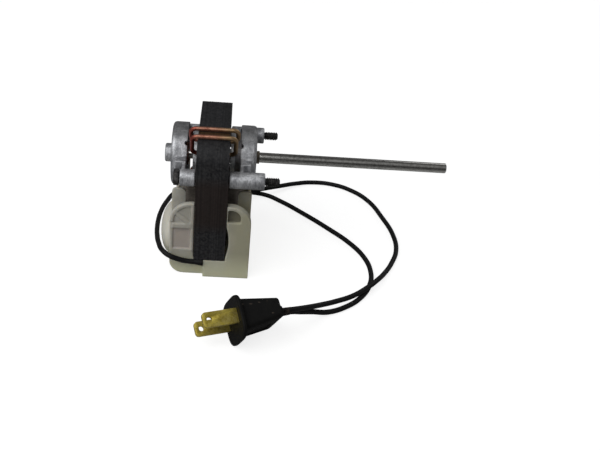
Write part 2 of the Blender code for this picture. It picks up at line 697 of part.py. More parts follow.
# Leads: a smooth route through hand-chosen points, read at even steps
def smooth_route(points, step):
    pts = [Vector(p) for p in points]
    ext = [pts[0] * 2 - pts[1]] + pts + [pts[-1] * 2 - pts[-2]]
    fine = []
    for i in range(1, len(ext) - 2):
        p0, p1, p2, p3 = ext[i - 1], ext[i], ext[i + 1], ext[i + 2]
        for k in range(24):
            t = k / 24
            fine.append(0.5 * ((2 * p1) + (p2 - p0) * t + (2 * p0 - 5 * p1 + 4 * p2 - p3) * t * t
                               + (3 * p1 - p0 - 3 * p2 + p3) * t * t * t))
    fine.append(pts[-1])
    total = sum((fine[i + 1] - fine[i]).length for i in range(len(fine) - 1))
    count = max(4, round(total / step))
    out = [fine[0]]
    target, walked = total / count, 0.0
    for i in range(len(fine) - 1):
        piece = (fine[i + 1] - fine[i]).length
        while walked + piece >= target and len(out) < count:
            out.append(fine[i].lerp(fine[i + 1], (target - walked) / piece))
            target += total / count
        walked += piece
    out.append(fine[-1])
    return out


LEAD_R = LEAD_D / 2
LIE = LEAD_R + 0.02
FRONT_EXIT = (-HALF_T - GAP + SILL_CUT - GAP, -COVER_HALF_Y - GAP - LEAD_R - 0.1, 7.8)
REAR_EXIT = (4.0, COVER_HALF_Y + GAP, 7.6)
BACK = -PLUG_A
END_BACK = -PLUG_BODY - PLUG_NECK - GAP
END_A = plug_point(END_BACK, -LEAD_APART / 2, 0)
END_B = plug_point(END_BACK, LEAD_APART / 2, 0)
ROUTE_A = [
    FRONT_EXIT, (FRONT_EXIT[0] - 4.0, FRONT_EXIT[1], 7.8), (-11.0, -27.4, 8.3), (-14.8, -27.9, 9.6),
    (-18.5, -27.6, 11.0), (-21.7, -24.6, 11.6), (-24.1, -17.6, 10.8), (-25.7, -8.4, 8.8),
    (-26.7, 1.6, 6.7), (-27.1, 12.0, 4.8), (-26.8, 22.6, 3.0), (-24.9, 35.0, 1.6), (-21.4, 44.6, LIE),
    (-14.0, 50.6, LIE), (-4.0, 52.0, LIE), (9.0, 50.6, LIE), (19.7, 49.6, LIE), (28.0, 47.6, LIE),
    (35.5, 42.2, LIE), (48.0, 30.2, LIE), (59.9, 17.3, LIE), (70.0, 4.8, LIE), (76.0, -6.8, LIE),
    (78.1, -18.6, LIE), (76.4, -29.8, LIE), (71.0, -40.0, LIE), (62.8, -47.8, LIE), (55.0, -52.0, 1.5),
    (47.2, -55.8, 4.3), (41.8, -59.9, 7.3), END_A + BACK * 5.0, END_A,
]
ROUTE_B = [
    REAR_EXIT, (REAR_EXIT[0], REAR_EXIT[1] + 4.0, 7.5), (6.6, 35.4, 6.6), (11.6, 40.6, 5.4),
    (18.8, 45.4, 4.5), (27.0, 49.9, 3.95), (35.6, 55.2, 3.0), (44.9, 61.4, 1.6), (54.0, 64.3, LIE),
    (66.0, 63.2, LIE), (76.4, 57.2, LIE), (84.3, 47.3, LIE), (90.0, 31.0, LIE), (93.6, 15.0, LIE),
    (93.4, 0.7, LIE), (89.3, -11.4, LIE), (84.4, -21.0, 1.9), (79.6, -28.8, 3.2), (74.6, -35.3, 3.95),
    (66.6, -42.6, 3.95), (58.6, -47.4, 4.2), (50.8, -53.4, 6.4), (43.2, -60.3, 9.9),
    END_B + BACK * 5.0, END_B,
]


def build_lead(name, route, mat):
    points = smooth_route(route, 7.6)
    curve = bpy.data.curves.new(name, "CURVE")
    curve.dimensions = "3D"
    curve.bevel_depth = LEAD_R * MM
    curve.bevel_resolution = 2
    curve.use_fill_caps = True
    curve.resolution_u = 1
    curve.render_resolution_u = 0
    spline = curve.splines.new("POLY")
    spline.points.add(len(points) - 1)
    for point, place in zip(spline.points, points):
        point.co = (*(place * MM), 1.0)
        point.radius = 1.0
    spline.use_smooth = True
    obj = bpy.data.objects.new(name, curve)
    bpy.context.scene.collection.objects.link(obj)
    curve.materials.append(mat)
    print(name, len(points), "points")
    return obj


lamination = material("lamination", (0.035, 0.034, 0.036), 0.3, 0.55)
cast_metal = material("cast_metal", (0.62, 0.62, 0.63), 1.0, 0.42)
nylon = material("nylon", (0.72, 0.70, 0.60), 0.0, 0.42)
winding = material("winding", (0.42, 0.16, 0.06), 0.8, 0.4)
tape = material("tape", (0.09, 0.055, 0.04), 0.0, 0.7)
copper = material("copper", (0.70, 0.36, 0.20), 1.0, 0.3)
bronze = material("bronze", (0.34, 0.24, 0.13), 0.9, 0.5)
felt = material("felt", (0.55, 0.50, 0.40), 0.0, 0.95)
bright_steel = material("bright_steel", (0.50, 0.50, 0.50), 1.0, 0.28)
black_steel = material("black_steel", (0.02, 0.02, 0.02), 0.6, 0.5)
rotor_steel = material("rotor_steel", (0.22, 0.22, 0.23), 0.9, 0.45)
fibre = material("fibre", (0.30, 0.22, 0.14), 0.0, 0.8)
lead_black = material("lead_black", (0.015, 0.015, 0.016), 0.0, 0.45)
plug_black = material("plug_black", (0.03, 0.03, 0.028), 0.0, 0.5)
brass = material("brass", (0.70, 0.55, 0.20), 1.0, 0.32)

finish(build_stack(), lamination, 30)
build_rings(copper)
build_coil(nylon, winding, tape, lamination)
build_cover(nylon)
build_bracket("rear_bracket", -1, REAR_POST_END, cast_metal)
build_bracket("front_bracket", 1, FRONT_POST_END, cast_metal)
build_bearing("rear", -1, bronze, felt, bright_steel)
build_bearing("front", 1, bronze, felt, bright_steel)
build_bolt("bolt_near", -1, black_steel)
build_bolt("bolt_far", 1, black_steel)
build_rotor(rotor_steel, cast_metal, bright_steel, fibre)
build_plug(plug_black, brass)
build_lead("lead_a", ROUTE_A, lead_black)
build_lead("lead_b", ROUTE_B, lead_black)
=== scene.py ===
# %% [markdown]
# # Exhaust fan motor
# A small shaded-pole motor stands on its nylon coil cover. Its long bare shaft points to the
# right, and two black leads run over the table to a two-blade plug. This file dresses the
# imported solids: the shapes that show are modelled again with finer edges, and every finish is
# made of nodes, so that the model looks the same from any side and needs no pictures.

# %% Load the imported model
import math
import random

import bmesh
import bpy
from mathutils import Matrix, Vector


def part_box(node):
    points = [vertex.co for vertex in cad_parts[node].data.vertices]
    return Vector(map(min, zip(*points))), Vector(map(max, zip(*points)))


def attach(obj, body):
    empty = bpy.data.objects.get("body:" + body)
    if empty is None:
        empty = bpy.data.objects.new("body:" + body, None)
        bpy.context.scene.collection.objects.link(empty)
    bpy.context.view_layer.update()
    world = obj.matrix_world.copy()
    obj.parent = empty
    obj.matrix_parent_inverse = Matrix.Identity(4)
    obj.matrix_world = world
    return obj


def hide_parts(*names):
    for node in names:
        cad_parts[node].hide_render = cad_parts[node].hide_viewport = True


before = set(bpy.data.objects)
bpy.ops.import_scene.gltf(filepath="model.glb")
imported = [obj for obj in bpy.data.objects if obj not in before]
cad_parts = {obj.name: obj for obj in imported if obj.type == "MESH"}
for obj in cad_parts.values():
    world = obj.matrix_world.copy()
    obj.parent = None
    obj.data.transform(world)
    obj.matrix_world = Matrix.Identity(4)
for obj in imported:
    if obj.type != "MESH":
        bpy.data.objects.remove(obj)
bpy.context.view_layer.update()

# %% [markdown]
# ## The camera
# The camera stands about 40 cm away and looks down on the motor. Its place was worked out from
# points of the motor whose real places are known. A small shift keeps the object where the
# picture has it without turning the camera.


# %% Camera
def new_object(name, data):
    """An object for the data, placed in the scene."""
    obj = bpy.data.objects.new(name, data)
    bpy.context.scene.collection.objects.link(obj)
    return obj


IMAGE_W, IMAGE_H = 600, 450
FOCAL, MIDDLE_X, MIDDLE_Y = 838.16, 284.40, 221.24
SENSOR = 36.0
camera_data = bpy.data.cameras.new("camera")
camera_data.sensor_width = SENSOR
camera_data.lens = FOCAL * SENSOR / IMAGE_W
camera_data.shift_x = (IMAGE_W / 2 - MIDDLE_X) / IMAGE_W
camera_data.shift_y = (MIDDLE_Y - IMAGE_H / 2) / IMAGE_W
camera_data.clip_start = 0.01
camera = new_object("camera", camera_data)
right = Vector((0.99628, -0.02790, 0.08148))
up = Vector((-0.05344, 0.54162, 0.83892))
back = Vector((-0.06754, -0.84016, 0.53812))
place = Matrix.Translation((0.00773, -0.34596, 0.23694))
camera.matrix_world = place @ Matrix((right, up, back)).transposed().to_4x4()
bpy.context.scene.camera = camera
bpy.context.scene.view_settings.view_transform = "Standard"
print("lens", round(camera_data.lens, 2), "mm")

# %% [markdown]
# ## Sizes of the motor
# The pieces are modelled in millimetres, because Blender's modelling tools weld points that are
# closer than a hair, and small parts in metres would suffer. Each finished piece is then shrunk
# to metres. These are the sizes of the solids, so that what is modelled again fits the rest.

# %% Sizes in millimetres
# clearance between pieces, and height of the shaft's axis over the table
GAP, AXIS = 0.3, 50.0
# stack of sheets, its window for the coil and its bore
HALF_T = 7.15
SLOT_X = HALF_T + GAP
STACK_HALF_W, STACK_TOP, LEG_LOW, SHOULDER_R = 28.0, 67.5, 9.6, 9.5
LEG_IN, WINDOW_TOP, WINDOW_R, BORE_R = 17.0, 34.8, 2.2, 12.55
# brackets: drum, arm and rib, posts, closed boss and hub
DRUM_R, DRUM_IN, DRUM_OUT, DRUM_WALL = 14.6, 12.0, 19.3, 2.2
ARM_R, RIB_HALF_W, RIB_HALF_H, RIB_OUT = 9.0, 18.05, 5.4, 17.0
POST_R, POST_EDGE, REAR_POST_END, FRONT_POST_END = 3.85, 0.35, 14.4, 23.35
BOSS_R, BOSS_OUT, HUB_R = 4.3, 22.7, 8.4
# through-bolts and shaft
BOLT_Y, BOLT_R, BOLT_END, BOLT_CORE_R = 22.5, 2.05, 30.0, 1.62
HEX_ACROSS, HEAD_END, THREAD_PITCH = 6.35, -17.2, 0.79
SHAFT_R, SHAFT_REAR, SHAFT_END = 2.38, -21.2, 109.5
# cover: half sizes, thick front, wall, rim and lower left corner, then its arch and bulge
HX, HY, FRONT, WALL, RIM, CORNER_R = 18.5, 25.6, 28.0, 1.5, 24.0, 6.5
ARCH_TOP, ARCH_R = 38.8, 9.8
DOME_AT, DOME_HALF = (-18.2, -6.5, 13.2), (5.6, 14.5, 12.0)
# leads, and the height of a lead's middle where it lies on the table
LEAD_R = 1.2
LIE = LEAD_R + 0.02
# wire of the copper rings, and how far the two kinds reach to either side
RING_R, OUTER_REACH, INNER_REACH = 1.0, 9.7, 10.6
# flange of the solid plug: half sizes, thickness and bend of its outline, then the blades
FLANGE_N, FLANGE_W, FLANGE_T, FLANGE_POWER = 14.5, 10.6, 2.4, 1.5
BLADE_TIP, BLADE_HALF_W, BLADE_HALF_T, BLADE_AT = 15.1, 3.175, 0.75, 6.35
BLADE_HOLE_AT, BLADE_HOLE_R = 12.3, 1.15
print("stack", 2 * STACK_HALF_W, "x", STACK_TOP - LEG_LOW, "mm")

# %% [markdown]
# ## The plug's place
# The plug lies on the table on one corner of its flange, so its own axes are turned: A runs out
# along the blades, N from one blade to the other and W across a blade. Its height follows from
# the lowest point of the solid's flange, whose outline is a circle that is pulled out of round.


# %% Axes of the plug
def out_of_round(value, power):
    """A sine or cosine bent so that the circle becomes a diamond or a rounded square."""
    return math.copysign(abs(value) ** (2 / power), value)


turn, lift, roll = math.radians(201.8), math.radians(3.4), math.radians(34.8)
PLUG_A = Vector((math.cos(lift) * math.cos(turn), math.cos(lift) * math.sin(turn), math.sin(lift)))
level = Vector((0, 0, 1)).cross(PLUG_A).normalized()
PLUG_N = PLUG_A.cross(level) * math.cos(roll) + level * math.sin(roll)
PLUG_W = PLUG_A.cross(PLUG_N)
body_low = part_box("plug_body")[0]
PLUG_FACE = Vector((12.1, -74.0, 0.0))
corner = 0.0
for i in range(40):
    t = 2 * math.pi * i / 40
    n = out_of_round(math.cos(t), FLANGE_POWER) * FLANGE_N
    w = out_of_round(math.sin(t), FLANGE_POWER) * FLANGE_W
    rim = PLUG_N * n + PLUG_W * w
    corner = min(corner, rim.z, (rim - PLUG_A * FLANGE_T).z)
PLUG_FACE.z = 0.02 - corner
plug_axes = Matrix((PLUG_A, PLUG_N, PLUG_W)).transposed().to_4x4()
plug_matrix = Matrix.Translation(PLUG_FACE) @ plug_axes


def plug_point(a, n, w):
    """A point given along the plug's own axes, in millimetres."""
    return plug_matrix @ Vector((a, n, w))


print("plug face", [round(v, 1) for v in PLUG_FACE], "lowest", round(body_low.z * 1000, 2))

# %% [markdown]
# ## The two leads
# A lead is a soft copper strand in black PVC. It could be simulated as a falling rope, but here
# its course on the table is known, so each lead is one smooth curve through chosen points: it
# leaves the housing straight, sinks to the table under its own weight and runs in wide bends to
# the plug. The far lead rides over the near one in a long low hump.

# %% Routes of the leads
BEND_GAIN = 1.008
end_a, end_b = plug_point(-22.1, -1.5, 0), plug_point(-22.1, 1.5, 0)
route_a = [
    (-3.1, -27.2, 7.8), (-7.1, -27.2, 7.8), (-11.0, -27.4, 8.3), (-14.8, -27.9, 9.6),
    (-18.5, -27.6, 11.0), (-21.7, -24.6, 11.6), (-24.1, -17.6, 10.8), (-25.7, -8.4, 8.8),
    (-26.7, 1.6, 6.7), (-27.1, 12.0, 4.8), (-26.8, 22.6, 3.0), (-24.9, 35.0, 1.6),
    (-21.4, 44.6, LIE), (-14.0, 50.6, LIE), (-4.0, 52.0, LIE), (9.0, 50.6, LIE),
    (19.7, 49.6, LIE), (28.0, 47.6, LIE), (35.5, 42.2, LIE), (48.0, 30.2, LIE),
    (59.9, 17.3, LIE), (70.0, 4.8, LIE), (76.0, -6.8, LIE), (78.1, -18.6, LIE),
    (76.4, -29.8, LIE), (71.0, -40.0, LIE), (62.8, -47.8, LIE), (55.0, -52.0, 1.5),
    (47.2, -55.8, 4.3), (41.8, -59.9, 7.3), tuple(end_a - PLUG_A * 5.0), tuple(end_a),
]
route_b = [
    (4.0, 25.9, 7.6), (4.0, 29.9, 7.5), (6.6, 35.4, 6.6), (11.6, 40.6, 5.4),
    (18.8, 45.4, 4.5), (27.0, 49.9, 3.95), (35.6, 55.2, 3.0), (44.9, 61.4, 1.6),
    (54.0, 64.3, LIE), (66.0, 63.2, LIE), (76.4, 57.2, LIE), (84.3, 47.3, LIE),
    (90.0, 31.0, LIE), (93.6, 15.0, LIE), (93.4, 0.7, LIE), (89.3, -11.4, LIE),
    (84.4, -21.0, 1.9), (79.6, -28.8, 3.2), (74.6, -35.3, 3.95), (66.6, -42.6, 3.95),
    (58.6, -47.4, 4.2), (50.8, -53.4, 6.4), (43.2, -60.3, 9.9), tuple(end_b - PLUG_A * 5.0),
    tuple(end_b),
]


def round_wire(name, radius, kind, fineness):
    """An empty curve with a round section, and its one spline."""
    curve = bpy.data.curves.new(name, "CURVE")
    curve.dimensions = "3D"
    curve.bevel_depth = radius
    curve.bevel_resolution = fineness
    return curve, curve.splines.new(kind)


def lay_lead(name, route):
    """One smooth round curve through the points of a route, in metres."""
    curve, spline = round_wire(name, LEAD_R / 1000, "BEZIER", 7)
    curve.use_fill_caps = True
    curve.resolution_u = 10
    spline.bezier_points.add(len(route) - 1)
    for point, place in zip(spline.bezier_points, route):
        point.co = Vector(place) / 1000
        point.handle_left_type = point.handle_right_type = "AUTO"
    return new_object(name, curve)


def route_length(route):
    """Length along the route in metres, a little more than its chords."""
    steps = [(Vector(b) - Vector(a)).length for a, b in zip(route, route[1:])]
    return sum(steps) / 1000 * BEND_GAIN


near_lead = lay_lead("near_lead", route_a)
far_lead = lay_lead("far_lead", route_b)
print("leads", round(route_length(route_a), 3), round(route_length(route_b), 3), "m")

# %% [markdown]
# ## Tools for selecting and shaping
# Every operator works on what is selected, so each helper first selects nothing and then only
# its own piece. Edges are picked in code by their place, which keeps the steps repeatable.


# %% Selecting
def bare():
    """Leaves edit mode and selects nothing."""
    active = bpy.context.view_layer.objects.active
    if active is not None and active.mode != "OBJECT":
        bpy.ops.object.mode_set(mode="OBJECT")
    bpy.ops.object.select_all(action="DESELECT")


def take(obj):
    """Selects one piece alone and makes it active."""
    bare()
    obj.select_set(True)
    bpy.context.view_layer.objects.active = obj
    return obj


def freeze(obj, name):
    """Puts the piece's place, turn and size into its mesh."""
    take(obj)
    bpy.ops.object.transform_apply(location=True, rotation=True, scale=True)
    obj.name = name
    obj.data.name = name
    return obj


def join(pieces):
    """Puts loose pieces into the first one's mesh without welding them."""
    take(pieces[0])
    for piece in pieces[1:]:
        piece.select_set(True)
    bpy.ops.object.join()
    return pieces[0]


def edit_whole(obj, *steps):
    """Runs mesh operators on everything in the piece."""
    take(obj)
    bpy.ops.object.mode_set(mode="EDIT")
    bpy.ops.mesh.select_all(action="SELECT")
    for step in steps:
        step()
    bpy.ops.object.mode_set(mode="OBJECT")
    return obj


def face_outwards():
    """A step for edit_whole: turns all faces outwards."""
    bpy.ops.mesh.normals_make_consistent(inside=False)


bare()
print("nothing is selected:", len(bpy.context.selected_objects) == 0)

# %% [markdown]
# ## Basic shapes
# A block and a round bar are only raw stock. A turned shape starts as a filled circle that is
# extruded along the axis and scaled at every step, the way a turner works along a bar. The same
# steps with two different scales give a form that tapers, such as the plug's grip.

# %% Raw stock
TURN = {"X": (0, math.pi / 2, 0), "Y": (math.pi / 2, 0, 0), "Z": (0, 0, 0)}


def block(name, low, high):
    """A block between two corners."""
    bare()
    middle = [(a + b) / 2 for a, b in zip(low, high)]
    size = [b - a for a, b in zip(low, high)]
    bpy.ops.mesh.primitive_cube_add(size=1, location=middle, scale=size)
    return freeze(bpy.context.active_object, name)


def bar(name, radius, start, end, axis="X", at=(0.0, AXIS), sides=96):
    """A round bar along an axis."""
    bare()
    m = (start + end) / 2
    spot = {"X": (m, *at), "Y": (at[0], m, at[1]), "Z": (*at, m)}[axis]
    bpy.ops.mesh.primitive_cylinder_add(vertices=sides, radius=radius, depth=abs(end - start),
                                        location=spot, rotation=TURN[axis])
    return freeze(bpy.context.active_object, name)


def disc(name, x, at, radius, sides):
    """A flat round face across X, the start of a form that grows along X."""
    bare()
    bpy.ops.mesh.primitive_circle_add(vertices=sides, radius=radius, fill_type="NGON",
                                      location=(x, *at), rotation=TURN["X"])
    return freeze(bpy.context.active_object, name)


def grow(obj, sections, at=(0.0, 0.0)):
    """Extrudes a face along X through sections, given as (x, size in Y, size in Z)."""
    take(obj)
    bpy.ops.object.mode_set(mode="EDIT")
    bpy.ops.mesh.select_mode(type="FACE")
    bpy.ops.mesh.select_all(action="SELECT")
    for (x0, y0, z0), (x1, y1, z1) in zip(sections, sections[1:]):
        bpy.ops.mesh.extrude_region_move(TRANSFORM_OT_translate={"value": (x1 - x0, 0, 0)})
        if (y0, z0) != (y1, z1):
            bpy.ops.transform.resize(value=(1, y1 / y0, z1 / z0), center_override=(x1, *at))
    return edit_whole(obj, face_outwards)


def turned(name, profile, at=(0.0, AXIS), sides=96):
    """A solid turned along X; the profile gives (x, radius) from one end to the other."""
    start = disc(name, profile[0][0], at, profile[0][1], sides)
    return grow(start, [(x, r, r) for x, r in profile], at)


trial = turned("trial", [(0, 2.0), (3, 2.0), (3, 1.0), (5, 1.0)], (0, 0), 24)
print("a turned trial piece has", len(trial.data.polygons), "faces")
bpy.data.objects.remove(trial, do_unlink=True)

# %% [markdown]
# ## Shaping tools
# Edges are rounded with the bevel operator. Pieces are joined and cut with the Boolean
# modifier. A cast or moulded part has no sharp edge anywhere, and the surest way to that look is
# to give the whole shape one even skin with a voxel remesh and to relax it a little.


# %% Rounding edges
CLOSE = 1e-3


def round_edges(obj, width, segments, axis=None, **places):
    """Bevels the edges along an axis, or all, whose two ends lie at the given places."""
    take(obj)
    bpy.ops.object.mode_set(mode="EDIT")
    bpy.ops.mesh.select_mode(type="EDGE")
    bpy.ops.mesh.select_all(action="DESELECT")
    mesh = bmesh.from_edit_mesh(obj.data)
    for edge in mesh.edges:
        a, b = (vert.co for vert in edge.verts)
        ends_there = all(abs(end["xyz".index(key)] - value) < CLOSE
                         for end in (a, b) for key, value in places.items())
        along = axis is None or all(abs(a[i] - b[i]) < CLOSE for i in range(3)
                                    if "xyz"[i] != axis)
        edge.select_set(ends_there and along)
    bmesh.update_edit_mesh(obj.data)
    bpy.ops.mesh.bevel(offset=width, segments=segments, profile=0.5, affect="EDGES")
    bpy.ops.object.mode_set(mode="OBJECT")
    return obj


print("edges closer than", CLOSE, "mm to a place count as there")


# %% Joining and cutting
def apply_all(obj):
    """Applies the modifiers in their order."""
    take(obj)
    for step in list(obj.modifiers):
        bpy.ops.object.modifier_apply(modifier=step.name)
    return obj


def shape_with(target, tools, operation):
    """Applies one Boolean after the other and throws the tools away."""
    for tool in tools:
        step = target.modifiers.new("shape", "BOOLEAN")
        step.operation = operation
        step.solver = "EXACT"
        step.object = tool
        apply_all(target)
        bpy.data.objects.remove(tool, do_unlink=True)
    return target


def weld(target, *tools):
    """Joins the tools to the target."""
    return shape_with(target, tools, "UNION")


def carve(target, *tools):
    """Cuts the tools out of the target."""
    return shape_with(target, tools, "DIFFERENCE")


print("pieces can be welded and carved")


# %% Skins and edges
def even_skin(obj, voxel, rounds, share):
    """One even skin over the whole shape, relaxed and then thinned to a share of its faces."""
    remesh = obj.modifiers.new("skin", "REMESH")
    remesh.mode = "VOXEL"
    remesh.voxel_size = voxel
    apply_all(obj)
    relax = obj.modifiers.new("relax", "SMOOTH")
    relax.factor = 0.5
    relax.iterations = rounds
    thin = obj.modifiers.new("thin", "DECIMATE")
    thin.ratio = share
    apply_all(obj)
    obj.data.polygons.foreach_set("use_smooth", [True] * len(obj.data.polygons))
    return obj


def chamfer_all(obj, width, segments=2, angle=40):
    """Breaks every sharp edge by the same small width."""
    step = obj.modifiers.new("edges", "BEVEL")
    step.width = width
    step.segments = segments
    step.limit_method = "ANGLE"
    step.angle_limit = math.radians(angle)
    apply_all(obj)
    return obj


print("pieces can get an even skin")


# %% Finished pieces
def settle(obj, body, nodes, slot, smooth=None, finish=None):
    """Shrinks a piece to metres, gives it its finish and lets it ride on its body."""
    take(obj)
    if smooth is not None:
        bpy.ops.object.shade_smooth_by_angle(angle=math.radians(smooth))
    obj.scale = (0.001, 0.001, 0.001)
    freeze(obj, obj.name)
    obj.data.materials.clear()
    obj.data.materials.append(finishes[finish or slot])
    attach(obj, body)
    if nodes:
        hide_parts(*nodes)
    low, high = [Vector(c) for c in (obj.bound_box[0], obj.bound_box[6])]
    print(obj.name, "has", len(obj.data.polygons), "faces and is",
          [round(v * 1000, 1) for v in high - low], "mm")
    return obj


def copy_of_node(name, node):
    """A merged copy of a solid in millimetres, to be refined."""
    obj = new_object(name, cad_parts[node].data.copy())
    obj.scale = (1000, 1000, 1000)
    freeze(obj, name)
    return edit_whole(obj, lambda: bpy.ops.mesh.remove_doubles(threshold=0.002),
                      lambda: bpy.ops.mesh.dissolve_limited(angle_limit=math.radians(1.0)))


print("pieces can be settled on the stator and on the rotor")

# %% [markdown]
# ## Finishes from nodes
# Several finishes share the same effects: cloudy colour, fine grain and light edges, which are
# wear on most finishes and a painted highlight on the plug. Each effect is a node group that is
# built once, and each material then places it with its own values. The groups put out only
# colours, masks and heights. The shader stays in the material.


# %% Small helpers for node trees
def add_node(tree, kind, settings=None, entries=None, **values):
    """A shader node with its settings and the values of its inputs, by number or by name."""
    made = tree.nodes.new("ShaderNode" + kind)
    for key, value in (settings or {}).items():
        setattr(made, key, value)
    for key, value in (entries or {}).items():
        made.inputs[key].default_value = value
    for key, value in values.items():
        made.inputs[key.replace("_", " ")].default_value = value
    return made


def add_math(tree, operation, entries=None, vector=False, clamp=False):
    """A node that calculates with numbers or with vectors."""
    settings = {"operation": operation, "use_clamp": True} if clamp else {"operation": operation}
    return add_node(tree, "VectorMath" if vector else "Math", settings, entries)


def add_mix(tree, data_type, entries=None, blend="MIX"):
    """A node that mixes two values or two colours."""
    return add_node(tree, "Mix", {"data_type": data_type, "blend_type": blend}, entries)


def wire(tree, *wires):
    """Joins nodes; each wire is (node, its output, next node, its input)."""
    for source, output, target, entry in wires:
        tree.links.new(source.outputs[output], target.inputs[entry])


def lay_over(tree, last, mask, tone, share):
    """Mixes a tone over the colour where the mask, weakened to a share, is bright."""
    weaker = add_math(tree, "MULTIPLY", {1: share})
    layer = add_mix(tree, "RGBA", {7: (*tone, 1)})
    wire(tree, (weaker, 0, layer, "Factor"))
    tree.links.new(mask, weaker.inputs[0])
    tree.links.new(last, layer.inputs[6])
    return layer.outputs[2]


def start_group(name, inputs, outputs):
    """An empty node group with named float or colour sockets."""
    kinds = {"f": "NodeSocketFloat", "c": "NodeSocketColor", "v": "NodeSocketVector"}
    tree = bpy.data.node_groups.new(name, "ShaderNodeTree")
    for label, kind, value in inputs:
        socket = tree.interface.new_socket(name=label, in_out="INPUT", socket_type=kinds[kind])
        socket.default_value = value
    for label, kind in outputs:
        tree.interface.new_socket(name=label, in_out="OUTPUT", socket_type=kinds[kind])
    return tree, tree.nodes.new("NodeGroupInput"), tree.nodes.new("NodeGroupOutput")


def place_group(tree, group, **values):
    """A node that stands for a group, with the values of its inputs."""
    return add_node(tree, "Group", {"node_tree": group}, **values)


print("node helpers are ready")

# %% Cloudy colour: two tones in soft patches and finer flecks
cloudy, cloudy_in, cloudy_out = start_group(
    "cloudy_colour",
    [("Light", "c", (0.5, 0.5, 0.5, 1)), ("Dark", "c", (0.3, 0.3, 0.3, 1)), ("Scale", "f", 200.0),
     ("Contrast", "f", 1.0), ("Stretch", "v", (1.0, 1.0, 1.0))],
    [("Color", "c"), ("Mask", "f")])
spot = add_node(cloudy, "TexCoord")
stretched = add_math(cloudy, "MULTIPLY", vector=True)
broad = add_node(cloudy, "TexNoise", Detail=5.0, Roughness=0.6)
finer = add_node(cloudy, "TexNoise", Detail=3.0, Roughness=0.5)
times = add_math(cloudy, "MULTIPLY", {1: 7.0})
blend_both = add_mix(cloudy, "FLOAT", {"Factor": 0.3})
spread = add_node(cloudy, "MapRange", From_Min=0.38, From_Max=0.62)
around = add_math(cloudy, "SUBTRACT", {1: 0.5})
strength = add_math(cloudy, "MULTIPLY_ADD", {2: 0.5}, clamp=True)
tones = add_mix(cloudy, "RGBA")
wire(cloudy, (spot, "Object", stretched, 0), (cloudy_in, "Stretch", stretched, 1),
     (stretched, 0, broad, "Vector"), (stretched, 0, finer, "Vector"),
     (cloudy_in, "Scale", broad, "Scale"), (cloudy_in, "Scale", times, 0),
     (times, 0, finer, "Scale"), (broad, "Fac", blend_both, 2), (finer, "Fac", blend_both, 3),
     (blend_both, 0, spread, "Value"), (spread, 0, around, 0), (around, 0, strength, 0),
     (cloudy_in, "Contrast", strength, 1), (strength, 0, tones, "Factor"),
     (cloudy_in, "Dark", tones, 6), (cloudy_in, "Light", tones, 7),
     (tones, 2, cloudy_out, "Color"), (strength, 0, cloudy_out, "Mask"))
print("cloudy_colour has", len(cloudy.nodes), "nodes")

# %% Fine grain: a height for bumps, stretched along any axis
grain, grain_in, grain_out = start_group(
    "fine_grain",
    [("Stretch", "v", (1.0, 1.0, 1.0)), ("Scale", "f", 2000.0), ("Pits", "f", 0.3)],
    [("Height", "f")])
spot = add_node(grain, "TexCoord")
squeeze = add_math(grain, "MULTIPLY", vector=True)
rough = add_node(grain, "TexNoise", Detail=6.0, Roughness=0.65)
cells = add_node(grain, "TexVoronoi", {"feature": "F1"})
pit = add_node(grain, "MapRange", From_Min=0.0, From_Max=0.35)
mixed = add_mix(grain, "FLOAT")
wire(grain, (spot, "Object", squeeze, 0), (grain_in, "Stretch", squeeze, 1),
     (squeeze, 0, rough, "Vector"), (squeeze, 0, cells, "Vector"),
     (grain_in, "Scale", rough, "Scale"), (grain_in, "Scale", cells, "Scale"),
     (cells, "Distance", pit, "Value"), (grain_in, "Pits", mixed, "Factor"),
     (rough, "Fac", mixed, 2), (pit, 0, mixed, 3), (mixed, 0, grain_out, "Height"))
print("fine_grain has", len(grain.nodes), "nodes")

# %% Worn edges and painted highlights: a mask that lights up ridges, broken up by noise
edge_wear_and_highlight, edge_wear_and_highlight_in, edge_wear_and_highlight_out = start_group(
    "edge_wear_and_highlight",
    [("Start", "f", 0.52), ("Full", "f", 0.58), ("Scale", "f", 900.0)],
    [("Ridges", "f"), ("Hollows", "f")])
spot = add_node(edge_wear_and_highlight, "TexCoord")
shape = add_node(edge_wear_and_highlight, "NewGeometry")
breakup = add_node(edge_wear_and_highlight, "TexNoise", Detail=4.0)
ridge = add_node(edge_wear_and_highlight, "MapRange")
hollow = add_node(edge_wear_and_highlight, "MapRange", From_Min=0.49, From_Max=0.42)
both = add_math(edge_wear_and_highlight, "MULTIPLY", clamp=True)
gain = add_node(edge_wear_and_highlight, "MapRange", From_Min=0.35, From_Max=0.6)
wire(edge_wear_and_highlight, (spot, "Object", breakup, "Vector"), (edge_wear_and_highlight_in, "Scale", breakup, "Scale"),
     (shape, "Pointiness", ridge, "Value"), (edge_wear_and_highlight_in, "Start", ridge, "From Min"),
     (edge_wear_and_highlight_in, "Full", ridge, "From Max"), (shape, "Pointiness", hollow, "Value"),
     (breakup, "Fac", gain, "Value"), (ridge, 0, both, 0), (gain, 0, both, 1),
     (both, 0, edge_wear_and_highlight_out, "Ridges"), (hollow, 0, edge_wear_and_highlight_out, "Hollows"))
print("edge_wear_and_highlight has", len(edge_wear_and_highlight.nodes), "nodes")

